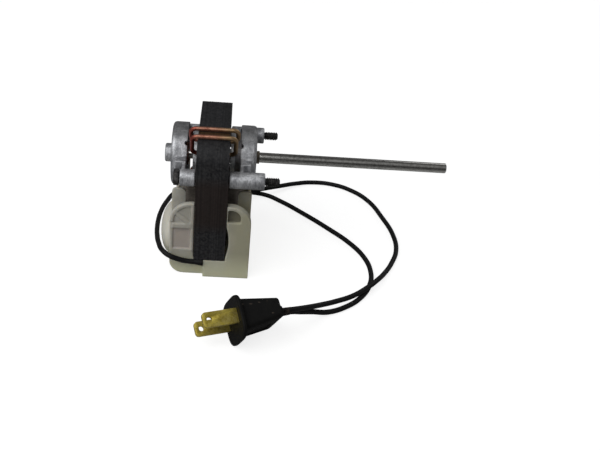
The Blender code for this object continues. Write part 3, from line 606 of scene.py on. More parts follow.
# %% Soft zone: a mask that is 1 inside a box and fades out towards its sides
zone, zone_in, zone_out = start_group(
    "soft_zone",
    [("Low", "v", (-1.0, -1.0, -1.0)), ("High", "v", (1.0, 1.0, 1.0)), ("Sharpness", "f", 300.0)],
    [("Mask", "f")])
spot = add_node(zone, "TexCoord")
sides = []
for first, output, second, other in ((spot, "Object", zone_in, "Low"),
                                     (zone_in, "High", spot, "Object")):
    away = add_math(zone, "SUBTRACT", vector=True)
    steep = add_math(zone, "SCALE", vector=True)
    above = add_math(zone, "MAXIMUM", vector=True)
    below = add_math(zone, "MINIMUM", {1: (1, 1, 1)}, vector=True)
    wire(zone, (first, output, away, 0), (second, other, away, 1), (away, 0, steep, 0),
         (zone_in, "Sharpness", steep, "Scale"), (steep, 0, above, 0), (above, 0, below, 0))
    sides.append(below)
inside_both = add_math(zone, "MULTIPLY", vector=True)
parts = add_node(zone, "SeparateXYZ")
flat_mask = add_math(zone, "MULTIPLY")
box_mask = add_math(zone, "MULTIPLY")
wire(zone, (sides[0], 0, inside_both, 0), (sides[1], 0, inside_both, 1),
     (inside_both, 0, parts, 0), (parts, "X", flat_mask, 0), (parts, "Y", flat_mask, 1),
     (flat_mask, 0, box_mask, 0), (parts, "Z", box_mask, 1), (box_mask, 0, zone_out, "Mask"))
print("soft_zone has", len(zone.nodes), "nodes")


# %% [markdown]
# ## One recipe for most finishes
# Most of the motor's surfaces differ only in their tones, gloss, grain, wear and painted light.
# The recipe below lays the cloudy colour first, lightens the ridges, darkens the hollows and ends
# with a bump. A finish can have zones of another tone, such as the crimson left side of the
# copper; several zones are painted light or painted shade. What only one finish has, such as the
# sheets of the stack or the painted highlight of the shaft, is added to its material afterwards.

# %% The recipe
finishes = {}
ALL_LOW, ALL_HIGH = (-1, -1, -1), (1, 1, 1)


def recipe(slot, name, light, dark, scale, contrast, metallic, gloss, grain_scale, bump, depth,
           edge=None, edge_share=0.6, hollow_tone=None, hollow_share=0.5, stretch=(1, 1, 1), pits=0.3,
           mirror=0.5, streak=(1, 1, 1), zones=()):
    """A material that is filed under its slot.

    gloss is the lowest and the highest roughness, and depth is the bump's height in metres. A
    zone lays another tone over a soft box: (tone, share, low corner, high corner, sharpness).
    """
    material = bpy.data.materials.new(name)
    material.use_nodes = True
    tree = material.node_tree
    shader = tree.nodes["Principled BSDF"]
    shader.inputs["Metallic"].default_value = metallic
    shader.inputs["Specular IOR Level"].default_value = mirror
    colour = place_group(tree, cloudy, Light=(*light, 1), Dark=(*dark, 1), Scale=scale,
                         Contrast=contrast, Stretch=streak)
    last = colour.outputs["Color"]
    edge_and_hollow_masks = place_group(tree, edge_wear_and_highlight)
    # darker hollows and lighter ridges, in the tones given
    for output, tone, share in (("Hollows", hollow_tone, hollow_share), ("Ridges", edge, edge_share)):
        if tone is not None:
            last = lay_over(tree, last, edge_and_hollow_masks.outputs[output], tone, share)
    for tone, share, low, high, sharpness in zones:
        box = place_group(tree, zone, Low=low, High=high, Sharpness=sharpness)
        last = lay_over(tree, last, box.outputs["Mask"], tone, share)
    tree.links.new(last, shader.inputs["Base Color"])
    texture = place_group(tree, grain, Stretch=stretch, Scale=grain_scale, Pits=pits)
    sheen = add_node(tree, "MapRange", From_Min=0.3, From_Max=0.7, To_Min=gloss[0],
                     To_Max=gloss[1])
    relief = add_node(tree, "Bump", Strength=bump, Distance=depth)
    wire(tree, (texture, "Height", sheen, "Value"), (sheen, 0, shader, "Roughness"),
         (texture, "Height", relief, "Height"), (relief, "Normal", shader, "Normal"))
    finishes[slot] = material
    return tree, shader, last, relief


print("the recipe makes one material at a time")

# %% Metals
recipe("cast_metal", "die_cast_zinc", (0.62, 0.63, 0.65), (0.27, 0.275, 0.29), 260, 1.4, 0.85,
       (0.34, 0.60), 1400, 0.5, 0.00012, edge=(0.86, 0.87, 0.88), hollow_tone=(0.10, 0.095, 0.09),
       stretch=(1, 1, 0.35), streak=(1, 1, 0.3), zones=[
           # painted shade on top
           ((0.13, 0.13, 0.13), 0.6, (-1, -1, 0.0606), ALL_HIGH, 350)])
recipe("copper", "shading_copper", (0.52, 0.27, 0.18), (0.26, 0.095, 0.065), 260, 1.2, 0.9,
       (0.26, 0.44), 900, 0.3, 0.00008, zones=[
           # olive brown at the right, crimson at the left
           ((0.42, 0.30, 0.155), 0.8, (0.0, -1, -1), ALL_HIGH, 140),
           ((0.26, 0.035, 0.03), 0.75, ALL_LOW, (-0.0062, 1, 1), 300)])
recipe("bronze", "sintered_bronze", (0.17, 0.145, 0.115), (0.08, 0.07, 0.058), 900, 1.2, 0.8,
       (0.35, 0.6), 5000, 0.6, 0.00006, edge=(0.45, 0.33, 0.2), pits=0.7)
recipe("black_steel", "black_oxide_steel", (0.018, 0.018, 0.019), (0.006, 0.006, 0.007), 600, 1.0,
       0.6, (0.32, 0.55), 3000, 0.4, 0.00005, edge=(0.12, 0.115, 0.11), mirror=0.3)
recipe("rotor_steel", "rotor_sheet_steel", (0.26, 0.26, 0.27), (0.14, 0.13, 0.13), 500, 1.0, 0.9,
       (0.3, 0.5), 2500, 0.4, 0.00006, stretch=(6, 1, 1))
recipe("brass", "blade_brass", (0.78, 0.64, 0.12), (0.42, 0.32, 0.045), 330, 1.2, 0.95,
       (0.30, 0.50), 1500, 0.3, 0.00006, edge=(0.82, 0.70, 0.26), hollow_tone=(0.10, 0.07, 0.02),
       stretch=(1, 1, 0.3))
recipe("bright_steel", "plate_steel", (0.55, 0.55, 0.54), (0.36, 0.36, 0.35), 500, 1.0, 1.0,
       (0.22, 0.4), 2500, 0.3, 0.00005)
print("metals:", ", ".join(finishes))

# %% Cloth, felt, fibre and lacquer
recipe("tape", "brown_cloth_tape", (0.19, 0.165, 0.14), (0.105, 0.09, 0.075), 300, 1.0, 0.0,
       (0.55, 0.8), 2600, 0.5, 0.00012, stretch=(1, 3, 1))
recipe("winding", "enamelled_winding", (0.42, 0.15, 0.05), (0.25, 0.07, 0.03), 500, 1.0, 0.7,
       (0.25, 0.4), 1500, 0.4, 0.0002, stretch=(0.1, 1, 0.1))
recipe("felt", "oiled_felt", (0.45, 0.38, 0.26), (0.28, 0.22, 0.14), 700, 1.0, 0.0, (0.85, 1.0),
       4000, 0.8, 0.0002)
recipe("fibre", "red_fibre_washer", (0.24, 0.10, 0.06), (0.15, 0.06, 0.04), 900, 1.0, 0.0,
       (0.6, 0.8), 3000, 0.4, 0.00008)
recipe("lead_black", "lead_pvc", (0.007, 0.007, 0.0075), (0.003, 0.003, 0.0035), 350, 1.0, 0.0,
       (0.42, 0.58), 1800, 0.25, 0.00006, mirror=0.22)
print("finishes so far:", ", ".join(sorted(finishes)))

# %% [markdown]
# ## Varnished steel sheets
# The stack is punched from thin steel sheets under a dark varnish. The varnish looks blue where it
# is thin on the shoulders and brown further down, where it ran together. Between the near rings it
# carries a brown painted reflection of the copper. Each sheet took it a little differently, so the
# tone also steps from sheet to sheet along X.

# %% Finish of the stack
SHEETS = 26
PITCH = 2 * HALF_T / SHEETS
tree, shader, last, relief = recipe(
    "lamination", "varnished_sheets", (0.0125, 0.013, 0.0155), (0.005, 0.005, 0.0065), 90, 1.0,
    0.0, (0.40, 0.62), 2600, 0.3, 0.00006, edge=(0.045, 0.044, 0.045), hollow_tone=(0.005, 0.004, 0.004),
    mirror=0.25, zones=[
        # brown down the legs, and a painted reflection of the copper between the near rings
        ((0.020, 0.0128, 0.0105), 0.8, (-1, -1, 0.024), (1, 1, 0.054), 180),
        ((0.060, 0.030, 0.011), 0.85, (-0.0074, -0.0192, 0.0650), (0.0074, -0.0106, 0.0690),
         900)])
spot = add_node(tree, "TexCoord")
apart = add_node(tree, "SeparateXYZ")
sheet_number = add_math(tree, "MULTIPLY_ADD", {1: 1000 / PITCH, 2: SHEETS / 2})
whole = add_math(tree, "FLOOR")
chance = add_node(tree, "TexWhiteNoise", {"noise_dimensions": "1D"})
tone = add_node(tree, "MapRange", To_Min=0.72, To_Max=1.28)
shade = add_mix(tree, "RGBA", {"Factor": 1.0}, "MULTIPLY")
wire(tree, (spot, "Object", apart, 0), (apart, "X", sheet_number, 0), (sheet_number, 0, whole, 0),
     (whole, 0, chance, "W"), (chance, "Value", tone, "Value"), (tone, 0, shade, 7),
     (shade, 2, shader, "Base Color"))
tree.links.new(last, shade.inputs[6])
print("varnished_sheets:", SHEETS, "sheets of", round(PITCH, 3), "mm")

# %% [markdown]
# ## Nylon
# The cover and the bobbin are moulded of natural nylon. Light goes a few millimetres into it, so
# it needs subsurface scattering, or it looks like painted metal. It is greenish white in the thick
# foot, and darker and yellower at the right. Painted light brightens the bulge at the left and the
# top of the arch, and painted shade darkens the bobbin's right flange and the gap beside the leg.
# Where the wall is thin, in the panel and in the quarter-round window, the dark coil behind shows
# through, and in the window painted shade deepens it.

# %% Finish of the nylon
SCATTER = 0.0022
tree, shader, last, relief = recipe(
    "nylon", "natural_nylon", (0.51, 0.495, 0.44), (0.41, 0.395, 0.34), 90, 1.0, 0.0,
    (0.36, 0.52), 1100, 0.25, 0.00008, edge=(0.62, 0.61, 0.56), edge_share=0.35,
    hollow_tone=(0.22, 0.20, 0.15), hollow_share=0.6, mirror=0.35, zones=[
        # painted light on the bulge at the left, darker and yellower at the right half, painted
        # light on the top of the arch, and the foot
        ((0.69, 0.67, 0.58), 0.8, ALL_LOW, (-0.0165, 1, 1), 250),
        ((0.405, 0.39, 0.26), 0.75, (0.004, -1, -1), ALL_HIGH, 120),
        ((0.50, 0.49, 0.43), 0.6, (-1, -1, 0.034), ALL_HIGH, 250),
        ((0.70, 0.705, 0.49), 0.75, ALL_LOW, (1, 1, 0.014), 90),
        # painted shade on the bobbin's right flange, the sunk panel, painted shade in the window
        # and in the gap beside the leg
        ((0.19, 0.175, 0.13), 0.75, (0.0100, -0.0172, 0.0290), (0.0192, 0.0172, 0.0420), 700),
        ((0.47, 0.41, 0.37), 0.7, (-0.0172, -0.0257, 0.0133), (-0.0087, -0.0245, 0.0252), 2500),
        ((0.11, 0.10, 0.07), 0.8, (0.0070, -0.0268, 0.0297), (0.0141, -0.0252, 0.0375), 1500),
        ((0.10, 0.095, 0.07), 0.75, (0.0068, -0.0290, 0.0240), (0.0125, -0.0230, 0.0392), 300)])
shader.inputs["Subsurface Weight"].default_value = 0.35
shader.inputs["Subsurface Radius"].default_value = (1.0, 0.8, 0.55)
shader.inputs["Subsurface Scale"].default_value = SCATTER
print("natural_nylon scatters over", SCATTER * 1000, "mm")

# %% [markdown]
# ## Ground steel of the shaft
# The shaft is cold-drawn bar, ground lightly. It carries very fine lines round its girth and a few
# longer scratches along it. Its broad light and dark bands are painted light: a painted highlight
# along its upper middle, as the camera sees it, with painted shade on either side. The lines are
# noise squeezed hard along X, the scratches are the same noise stretched along X, and the painted
# highlight is a sine across the bar that the scratches make waver.

# %% Finish of the shaft
tree, shader, last, relief = recipe(
    "shaft", "ground_shaft_steel", (0.33, 0.325, 0.31), (0.20, 0.196, 0.185), 420, 1.3, 1.0,
    (0.14, 0.22), 700, 0.04, 0.00002, edge=(0.7, 0.7, 0.68), stretch=(14, 0.5, 0.5), pits=0.0,
    streak=(0.02, 1.0, 1.0))
# painted highlight and painted shade: a sine across the bar, taken towards the camera's up, puts
# the light band where the lamp's highlight falls
HIGHLIGHT_BAND_WIDTH, HIGHLIGHT_BAND_START = 0.00238, 0.042476
scratch = place_group(tree, grain, Stretch=(0.04, 3.0, 3.0), Scale=1500.0, Pits=0.0)
second = add_node(tree, "Bump", Strength=0.06, Distance=0.00002)
spot = add_node(tree, "TexCoord")
across = add_math(tree, "DOT_PRODUCT", {1: (0.0, 0.54, 0.84)}, vector=True)
place_across = add_math(tree, "MULTIPLY_ADD", {
    1: 2 * math.pi / HIGHLIGHT_BAND_WIDTH, 2: math.pi / 2 - 2 * math.pi * HIGHLIGHT_BAND_START / HIGHLIGHT_BAND_WIDTH})
waver = add_math(tree, "MULTIPLY_ADD", {1: 1.3})
highlight_ripple = add_math(tree, "SINE")
band = add_node(tree, "MapRange", From_Min=-1.0, From_Max=1.0, To_Min=0.6, To_Max=1.9)
highlight_banded = add_mix(tree, "RGBA", {"Factor": 1.0}, "MULTIPLY")
wire(tree, (spot, "Object", across, 0), (across, "Value", place_across, 0),
     (scratch, "Height", waver, 0), (place_across, 0, waver, 2), (waver, 0, highlight_ripple, 0),
     (highlight_ripple, 0, band, "Value"), (band, 0, highlight_banded, 7), (highlight_banded, 2, shader, "Base Color"),
     (scratch, "Height", second, "Height"), (relief, "Normal", second, "Normal"),
     (second, "Normal", shader, "Normal"))
tree.links.new(last, highlight_banded.inputs[6])
print("ground_shaft_steel has", len(tree.nodes), "nodes")

# %% [markdown]
# ## Black moulded plug
# The plug is a hard black rubber with a dull skin. Its ridges, above all the rim of its flange,
# carry a brownish grey painted highlight.

# %% Finish of the plug
# the light edge tone is a painted highlight on the plug's ridges
recipe("plug_black", "moulded_black_rubber", (0.0045, 0.0045, 0.004), (0.002, 0.002, 0.002), 240,
       1.0, 0.0, (0.45, 0.65), 1500, 0.35, 0.0001, edge=(0.075, 0.058, 0.045), edge_share=0.8,
       hollow_tone=(0.002, 0.002, 0.002), mirror=0.15)
print("all finishes:", len(finishes))

# %% [markdown]
# ## The stack of sheets
# A solid block would do, but the thin dark lines between the sheets are what one sees first on
# such a motor. So one sheet is punched as a blank with rounded shoulders, a window for the coil,
# the bore and its holes, its edges are broken, and it is copied once for each sheet. Real stacks
# are never quite even, so each copy is shifted by a few hundredths of a millimetre.

# %% Punch one sheet
# each ring has one bar in a slot beside the bore and one past the stack's edge, from the axis
SLOT_AT = BORE_R + 1.65
RINGS = {
    "near_outer": ((-SLOT_AT * math.cos(math.radians(30)), SLOT_AT * 0.5), (-19.1, 18.88)),
    "near_inner": ((-SLOT_AT * math.cos(math.radians(55)), SLOT_AT * math.sin(math.radians(55))),
                   (-11.3, 18.8)),
    "far_outer": ((SLOT_AT * math.cos(math.radians(30)), -SLOT_AT * 0.5), (14.6, -16.5)),
    "far_inner": ((SLOT_AT * math.cos(math.radians(55)), -SLOT_AT * math.sin(math.radians(55))),
                  (9.6, -16.5)),
}
half = PITCH / 2
sheet = block("sheet", (-half, -STACK_HALF_W, LEG_LOW), (half, STACK_HALF_W, STACK_TOP))
round_edges(sheet, SHOULDER_R, 14, "x", z=STACK_TOP)
window = block("window", (-2, -LEG_IN, 0), (2, LEG_IN, WINDOW_TOP))
round_edges(window, WINDOW_R, 6, "x", z=WINDOW_TOP)
carve(sheet, window, bar("bore", BORE_R, -2, 2))
for side in (-1, 1):
    carve(sheet, bar("hole", BOLT_R + GAP, -2, 2, at=(side * BOLT_Y, AXIS), sides=32))
for slot_place, bar_place in RINGS.values():
    spot = (slot_place[0], AXIS + slot_place[1])
    carve(sheet, bar("slot", RING_R + GAP, -2, 2, at=spot, sides=20))
chamfer_all(sheet, 0.11, 1, 60)
print("one sheet has", len(sheet.data.polygons), "faces")

# %% Stack the sheets
dice = random.Random(7)
sheets = []
for i in range(SHEETS):
    one = new_object("sheet_copy", sheet.data.copy())
    shift = (-HALF_T + PITCH * (i + 0.5), dice.uniform(-0.04, 0.04), dice.uniform(-0.04, 0.04))
    one.data.transform(Matrix.Translation(shift))
    sheets.append(one)
bpy.data.objects.remove(sheet, do_unlink=True)
stack = join(sheets)
stack.name = "lamination_stack"
settle(stack, "stator", ["stator_stack"], "lamination", 30)


# %% [markdown]
# ## Shading rings
# Each pole carries two closed copper loops that go through the stack and round its edge. A loop
# is a rounded rectangle of wire, so it is made as a closed curve with a round section and
# turned into a mesh.

# %% Rings
def ring_points(slot_place, bar_place, reach, radius=2.6, steps=8):
    """Points round a rounded rectangle that reaches from the slot to the bar."""
    (sy, sz), (by, bz) = slot_place, bar_place
    length = math.hypot(by - sy, bz - sz)
    radius = min(radius, length * 0.4)
    points = []
    side, top = reach - radius, length - radius
    for cx, cz, first in ((side, top, 0), (-side, top, 90), (-side, radius, 180),
                          (side, radius, 270)):
        for k in range(steps + 1):
            a = math.radians(first + 90 * k / steps)
            along = cz + radius * math.sin(a)
            share = along / length
            points.append((cx + radius * math.cos(a), sy + (by - sy) * share,
                           AXIS + sz + (bz - sz) * share))
    return points


for label, (slot_place, bar_place) in RINGS.items():
    curve, spline = round_wire("ring", RING_R, "POLY", 6)
    reach = OUTER_REACH if label.endswith("outer") else INNER_REACH
    points = ring_points(slot_place, bar_place, reach)
    spline.points.add(len(points) - 1)
    for point, place in zip(spline.points, points):
        point.co = (*place, 1.0)
    spline.use_cyclic_u = True
    take(new_object("copper_ring_" + label, curve))
    bpy.ops.object.convert(target="MESH")
    ring = bpy.context.active_object
    settle(ring, "stator", ["shading_ring_" + label], "copper", 60)

# %% [markdown]
# ## Cast brackets
# Each end has a die-cast bracket: a round drum for the bearing, a flat arm and two posts for the
# bolts. The parts are joined and hollowed first. Then the even skin rounds every edge, which is
# just what a die casting looks like. The arm is the hull over three discs.


# %% Bracket
def ends(side, a, b):
    """Two distances from the middle, on the given side, the lower one first."""
    return sorted((side * a, side * b))


def bracket(name, side, post_end):
    """Drum, arm, posts and boss of one bracket; side is -1 at the left and 1 at the right."""
    profile = [(DRUM_IN, DRUM_R), (DRUM_OUT - 1.4, DRUM_R), (DRUM_OUT - 0.5, DRUM_R - 0.35),
               (DRUM_OUT, DRUM_R - 1.2)]
    drum = turned(name, [(side * x, r) for x, r in profile], sides=128)
    thin = POST_R - POST_EDGE
    low, high = ends(side, DRUM_IN + 0.1, DRUM_IN + 1.6)
    arm = join([bar("arm", r, low, high, at=(y, AXIS), sides=48)
                for y, r in ((-BOLT_Y, thin), (0.0, ARM_R), (BOLT_Y, thin))])
    edit_whole(arm, bpy.ops.mesh.convex_hull)
    low, high = ends(side, DRUM_IN + 0.2, RIB_OUT)
    rib = block("rib", (low, -RIB_HALF_W, AXIS - RIB_HALF_H),
                (high, RIB_HALF_W, AXIS + RIB_HALF_H))
    weld(drum, arm, rib)
    for y in (-BOLT_Y, BOLT_Y):
        a, b = SLOT_X, post_end
        post = [(a, thin), (a + POST_EDGE, POST_R), (b - POST_EDGE, POST_R), (b, thin)]
        weld(drum, turned("post", [(side * x, r) for x, r in post], (y, AXIS), 64))
        low, high = ends(side, a - 1, b + 1)
        carve(drum, bar("hole", BOLT_R + GAP, low, high, at=(y, AXIS), sides=32))
    if side < 0:
        boss = [(DRUM_OUT - 1, BOSS_R), (BOSS_OUT - 0.4, BOSS_R), (BOSS_OUT, BOSS_R - 0.4)]
        weld(drum, turned("boss", [(-x, r) for x, r in boss], sides=64))
    for angle in (46.3, 133.7, 226.3, 313.7):
        a = math.radians(angle)
        notch = bar("notch", 1.1, DRUM_R - 4, DRUM_R + 1, "Y", (side * (DRUM_IN + 0.1), 0.0), 24)
        notch.rotation_euler = (a, 0, 0)
        notch.location = (0, 0, AXIS)
        carve(drum, freeze(notch, "notch"))
    return drum


def hollow_drum(drum, side):
    """Opens the drum round the hub and cuts the pocket for the bushing."""
    inside = DRUM_R - DRUM_WALL
    carve(drum, bar("mouth", inside, *ends(side, 11.0, 13.4)))
    annulus = bar("annulus", inside, *ends(side, 13.3, 16.8))
    carve(annulus, bar("hub", HUB_R, *ends(side, 13.0, 17.0)))
    end = 20.9 if side > 0 else 21.8
    pocket = [(13.3, 7.0), (16.5, 7.0), (16.5, 5.05), (18.6, 5.05), (18.6, 3.3), (end, 3.3)]
    carve(drum, annulus, turned("pocket", [(side * x, r) for x, r in pocket]))
    groove = bar("groove", 9.6, *ends(side, DRUM_OUT - 0.45, 20.5))
    carve(groove, bar("land", 6.2, *ends(side, 19.0, 21.0)))
    carve(drum, groove)
    for angle in (30, 150, 270):
        a = math.radians(angle)
        spot = (11.4 * math.cos(a), AXIS + 11.4 * math.sin(a))
        carve(drum, bar("mark", 1.0, *ends(side, DRUM_OUT - 0.3, 20.5), at=spot, sides=24))


for name, side, end in (("rear", -1, REAR_POST_END), ("front", 1, FRONT_POST_END)):
    cast = bracket("cast_" + name + "_bracket", side, end)
    hollow_drum(cast, side)
    even_skin(cast, 0.24, 5, 0.45)
    settle(cast, "stator", [name + "_bracket"], "cast_metal")

# %% [markdown]
# ## The nylon cover
# The cover is a tub with an arched front. On its left it bulges where the thermal cut-out sits.
# It is built up like the mould: the tub, the dome, the arch and the thicker right front are
# joined, the coil space and the leg slots are cut, and the ribs go on last.

# %% Tub, dome and arch
cover = block("moulded_cover", (-HX, -HY, 0), (HX, HY, RIM))
round_edges(cover, CORNER_R, 12, "y", x=-HX, z=0)
bare()
bpy.ops.mesh.primitive_uv_sphere_add(segments=72, ring_count=48, radius=1,
                                     location=DOME_AT, scale=DOME_HALF)
dome = freeze(bpy.context.active_object, "dome")
weld(cover, dome)
carve(cover, block("coil_space", (-HX + WALL, -HY + WALL, WALL), (HX - WALL, HY - WALL, 60)))
arch = block("arch", (-HX, -HY, RIM - 6), (HX, -HY + WALL, ARCH_TOP))
round_edges(arch, ARCH_R, 18, "y", z=ARCH_TOP)
thick = block("thick", (SLOT_X - 1, -FRONT, 0), (HX, -HY + 0.5, ARCH_TOP))
round_edges(thick, ARCH_R, 18, "y", x=HX, z=ARCH_TOP)
sill = block("sill", (-2.8, -FRONT, 0), (SLOT_X, -HY + 0.5, LEG_LOW - GAP))
weld(cover, arch, thick, sill)
for side in (-1, 1):
    y0, y1 = ends(side, 17.2, 25.1)
    weld(cover, block("shelf", (-SLOT_X, y0, WALL - 0.2), (SLOT_X, y1, LEG_LOW - GAP)))
    y0, y1 = ends(side, 23.1, 30.0)
    carve(cover, block("leg", (-SLOT_X, y0, LEG_LOW - GAP), (SLOT_X, y1, 60)))
print("the cover has", len(cover.data.polygons), "faces before its ribs")

# %% Ribs, panel and window
proud = -HY - 0.8
band = block("band", (-HX, proud, 28.6), (-SLOT_X, -HY + 0.4, ARCH_TOP))
round_edges(band, ARCH_R, 18, "y", x=-HX, z=ARCH_TOP)
inner = block("inner", (-HX + 1.7, proud - 1, 20), (0, -HY + 1, ARCH_TOP - 1.7))
round_edges(inner, ARCH_R - 1.7, 18, "y", x=-HX + 1.7, z=ARCH_TOP - 1.7)
carve(band, inner)
upright = block("upright", (-SLOT_X - 1.3, proud, 13.0), (-SLOT_X, -HY + 0.4, ARCH_TOP - 1.0))
level_bar = block("level_bar", (-HX + 1.2, proud, 25.3), (-SLOT_X - 0.6, -HY + 0.4, 27.7))
slant = block("slant", (-4.7, proud + 0.2, -0.85), (4.7, -HY + 0.4, 0.85))
slant.rotation_euler = (0, math.radians(42), 0)
slant.location = (-11.9, 0, 30.0)
weld(cover, band, upright, level_bar, freeze(slant, "slant"))
carve(cover, block("panel", (-HX + 1.4, -HY - 1, 13.6), (-SLOT_X - 1.6, -HY + 0.6, 24.9)))
relief_cut = bar("relief", 28.0, -FRONT - 1, -HY + WALL + 1, "Y", (SLOT_X - 26.75, 19.6), 128)
carve(relief_cut, block("keep_left", (-60, -60, -60), (SLOT_X - 0.5, 60, 60)))
corner_window = block("window", (SLOT_X + 0.35, -FRONT - 1, 30.6), (13.8, -HY - 0.2, 37.0))
round_edges(corner_window, 4.3, 12, "y", x=13.8, z=37.0)
carve(cover, relief_cut, corner_window)
carve(cover, bar("rear_exit", 1.5, HY - 3, HY + 1, "Y", (4.0, 7.6), 32))
even_skin(cover, 0.3, 4, 0.42)
settle(cover, "stator", ["coil_cover"], "nylon")

# %% [markdown]
# ## Bobbin and tape
# The bobbin is a square tube with two flanges, and its solid already has that shape, so a copy of
# it only gets its edges broken. The tape is wound in turns that overlap by a few millimetres, and
# each turn lies a little higher than the one before.

# %% Bobbin
bobbin = chamfer_all(copy_of_node("moulded_bobbin", "coil_bobbin"), 0.2)
settle(bobbin, "stator", ["coil_bobbin"], "nylon", 35)

# %% Tape
tape_low, tape_high = [v * 1000 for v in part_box("coil_tape")]
turns, overlap = 5, 2.0
width = (tape_high.y - tape_low.y + (turns - 1) * overlap) / turns
tape = None
for i in range(turns):
    y0 = tape_low.y + i * (width - overlap)
    up_by = 0.14 * (i % 2) - 0.14
    side = tape_high.x + up_by
    one = block("tape_turn", (-side, y0, tape_low.z - up_by),
                (side, y0 + width, tape_high.z + up_by))
    round_edges(one, 5.0, 8, "y")
    tape = one if tape is None else weld(tape, one)
tape.name = "coil_tape_turns"
inside = block("inside", (-14.3, -30, tape_low.z + 0.5), (14.3, 30, tape_high.z - 0.5))
round_edges(inside, 4.6, 8, "y")
carve(tape, inside)
chamfer_all(tape, 0.05, 1, 50)
settle(tape, "stator", ["coil_tape"], "tape", 35)

# %% [markdown]
# ## Through-bolts
# The two bolts hold the brackets. Their hex heads are at the left. The bare thread at the right
# is a real helix: one small tooth is swept round the axis with the Screw modifier, which is
# simpler and cleaner than cutting a thread.

# %% Bolts
def thread(name, start, length, pitch, minor, major, at):
    """A helical ridge round a core."""
    mesh = bpy.data.meshes.new(name)
    profile = [(0.0, 0, minor - 0.15), (0.0, 0, minor), (pitch * 0.44, 0, major),
               (pitch * 0.56, 0, major), (pitch * 0.98, 0, minor), (pitch * 0.98, 0, minor - 0.15)]
    count = len(profile)
    mesh.from_pydata(profile, [(i, (i + 1) % count) for i in range(count)], [])
    obj = new_object(name, mesh)
    step = obj.modifiers.new("helix", "SCREW")
    step.axis = "X"
    step.screw_offset = pitch
    step.iterations = int(length / pitch) - 1
    step.steps = step.render_steps = 32
    step.use_smooth_shade = False
    apply_all(obj)
    edit_whole(obj, lambda: bpy.ops.mesh.fill_holes(sides=0), face_outwards)
    obj.location = (start, *at)
    return freeze(obj, name)


for label, y in (("near", -BOLT_Y), ("far", BOLT_Y)):
    spot = (y, AXIS)
    corner_r = HEX_ACROSS / 2 / math.cos(math.radians(30))
    head = bar("hex_bolt_" + label, corner_r, HEAD_END, -14.9, "X", spot, 6)
    round_edges(head, 0.35, 3, x=HEAD_END)
    washer = turned("washer_face", [(-15.0, 3.0), (-14.7, 3.0)], spot, 48)
    shank = [(-14.8, BOLT_R), (23.2, BOLT_R), (23.5, BOLT_CORE_R), (BOLT_END - 0.4, BOLT_CORE_R),
             (BOLT_END, 1.25)]
    weld(head, washer, turned("shank", shank, spot, 40))
    ridge = thread("ridge", 23.4, 6.4, THREAD_PITCH, BOLT_CORE_R - 0.04, BOLT_R, spot)
    settle(join([head, ridge]), "stator", ["bolt_" + label], "black_steel", 30)

# %% [markdown]
# ## Shaft
# The shaft is one ground bar with a small chamfer at each end.

# %% Shaft
shaft_profile = [(SHAFT_REAR, SHAFT_R - 0.4), (SHAFT_REAR + 0.4, SHAFT_R),
                 (SHAFT_END - 0.4, SHAFT_R), (SHAFT_END - 0.1, 2.25), (SHAFT_END, 2.05)]
shaft = turned("ground_shaft", shaft_profile, sides=64)
settle(shaft, "rotor", ["shaft"], "bright_steel", 25, finish="shaft")

# %% [markdown]
# ## Balance ring
# The right end of the rotor carries a plain ring that balances it. It fills the gap between the
# rotor and the front bracket, which is why no light comes through there as it does at the left.

# %% Balance ring
ring_profile = [(9.6, 11.0), (12.7, 11.0), (12.9, 10.7)]
balance = turned("rotor_balance_ring", ring_profile, sides=96)
carve(balance, bar("hole", 3.4, 9, 14, sides=48))
settle(balance, "rotor", [], "rotor_steel", 30)

# %% [markdown]
# ## Bushings
# The nose of the front bushing shows round the shaft. A copy of its solid gets broken edges, as a
# sintered part has.

# %% Bushings
for name in ("front_bushing", "rear_bushing"):
    bush = chamfer_all(copy_of_node("sintered_" + name, name), 0.12)
    settle(bush, "stator", [name], "bronze", 35)

# %% [markdown]
# ## Plug
# The plug's flange is a rounded rectangle. Behind it the grip widens from side to side and gets
# flatter towards the leads, so that two fingers can pull on it. Each of the three forms is a
# rounded rectangle that is extruded along the plug and scaled at every step. They are joined, a
# shallow hold is cut into both broad faces, and the even skin rounds all of it like a moulding.


# %% Plug body
def squarish(name, power, sections):
    """A solid along X through rounded rectangles, given as (x, half of Y, half of Z)."""
    x, half_y, half_z = sections[0]
    obj = disc(name, x, (0, 0), 1, 96)
    for vert in obj.data.vertices:
        t = math.atan2(vert.co.z, vert.co.y)
        vert.co.y = out_of_round(math.cos(t), power) * half_y
        vert.co.z = out_of_round(math.sin(t), power) * half_z
    return grow(obj, sections)


plug = squarish("moulded_plug", 4.0, [(0, 10.4, 9.1), (-0.4, 10.8, 9.5), (-1.4, 10.8, 9.5),
                                      (-1.8, 10.4, 9.1)])
plug.data.transform(Matrix.Translation((0, 0, -0.45)))
grip = squarish("grip", 6.0, [(-1.0, 7.8, 7.5), (-17.8, 10.5, 4.6), (-18.3, 10.1, 4.2)])
neck = squarish("neck", 3.5, [(-18.0, 6.0, 4.2), (-21.8, 3.7, 2.3)])
weld(plug, grip, neck)
SLOPE = math.atan((7.5 - 4.6) / 16.8)
for face in (0, math.pi):
    hold = block("hold", (-4.6, -4.8, -0.5), (4.6, 4.8, 2.5))
    round_edges(hold, 1.8, 6, "z")
    seat = Matrix.Translation((-10.5, 0, 5.86)) @ Matrix.Rotation(-SLOPE, 4, "Y")
    hold.data.transform(Matrix.Rotation(face, 4, "X") @ seat)
    carve(plug, hold)
plug.data.transform(plug_matrix)
even_skin(plug, 0.2, 4, 0.5)
settle(plug, "stator", ["plug_body"], "plug_black")

# %% [markdown]
# ## Blades
# A blade is a brass strip folded on itself, so a fine line runs along its narrow sides. Its tip
# is rounded for an easy entry and has a hole. The blade is modelled flat on the axes and then
# laid into the plug with the plug's matrix.

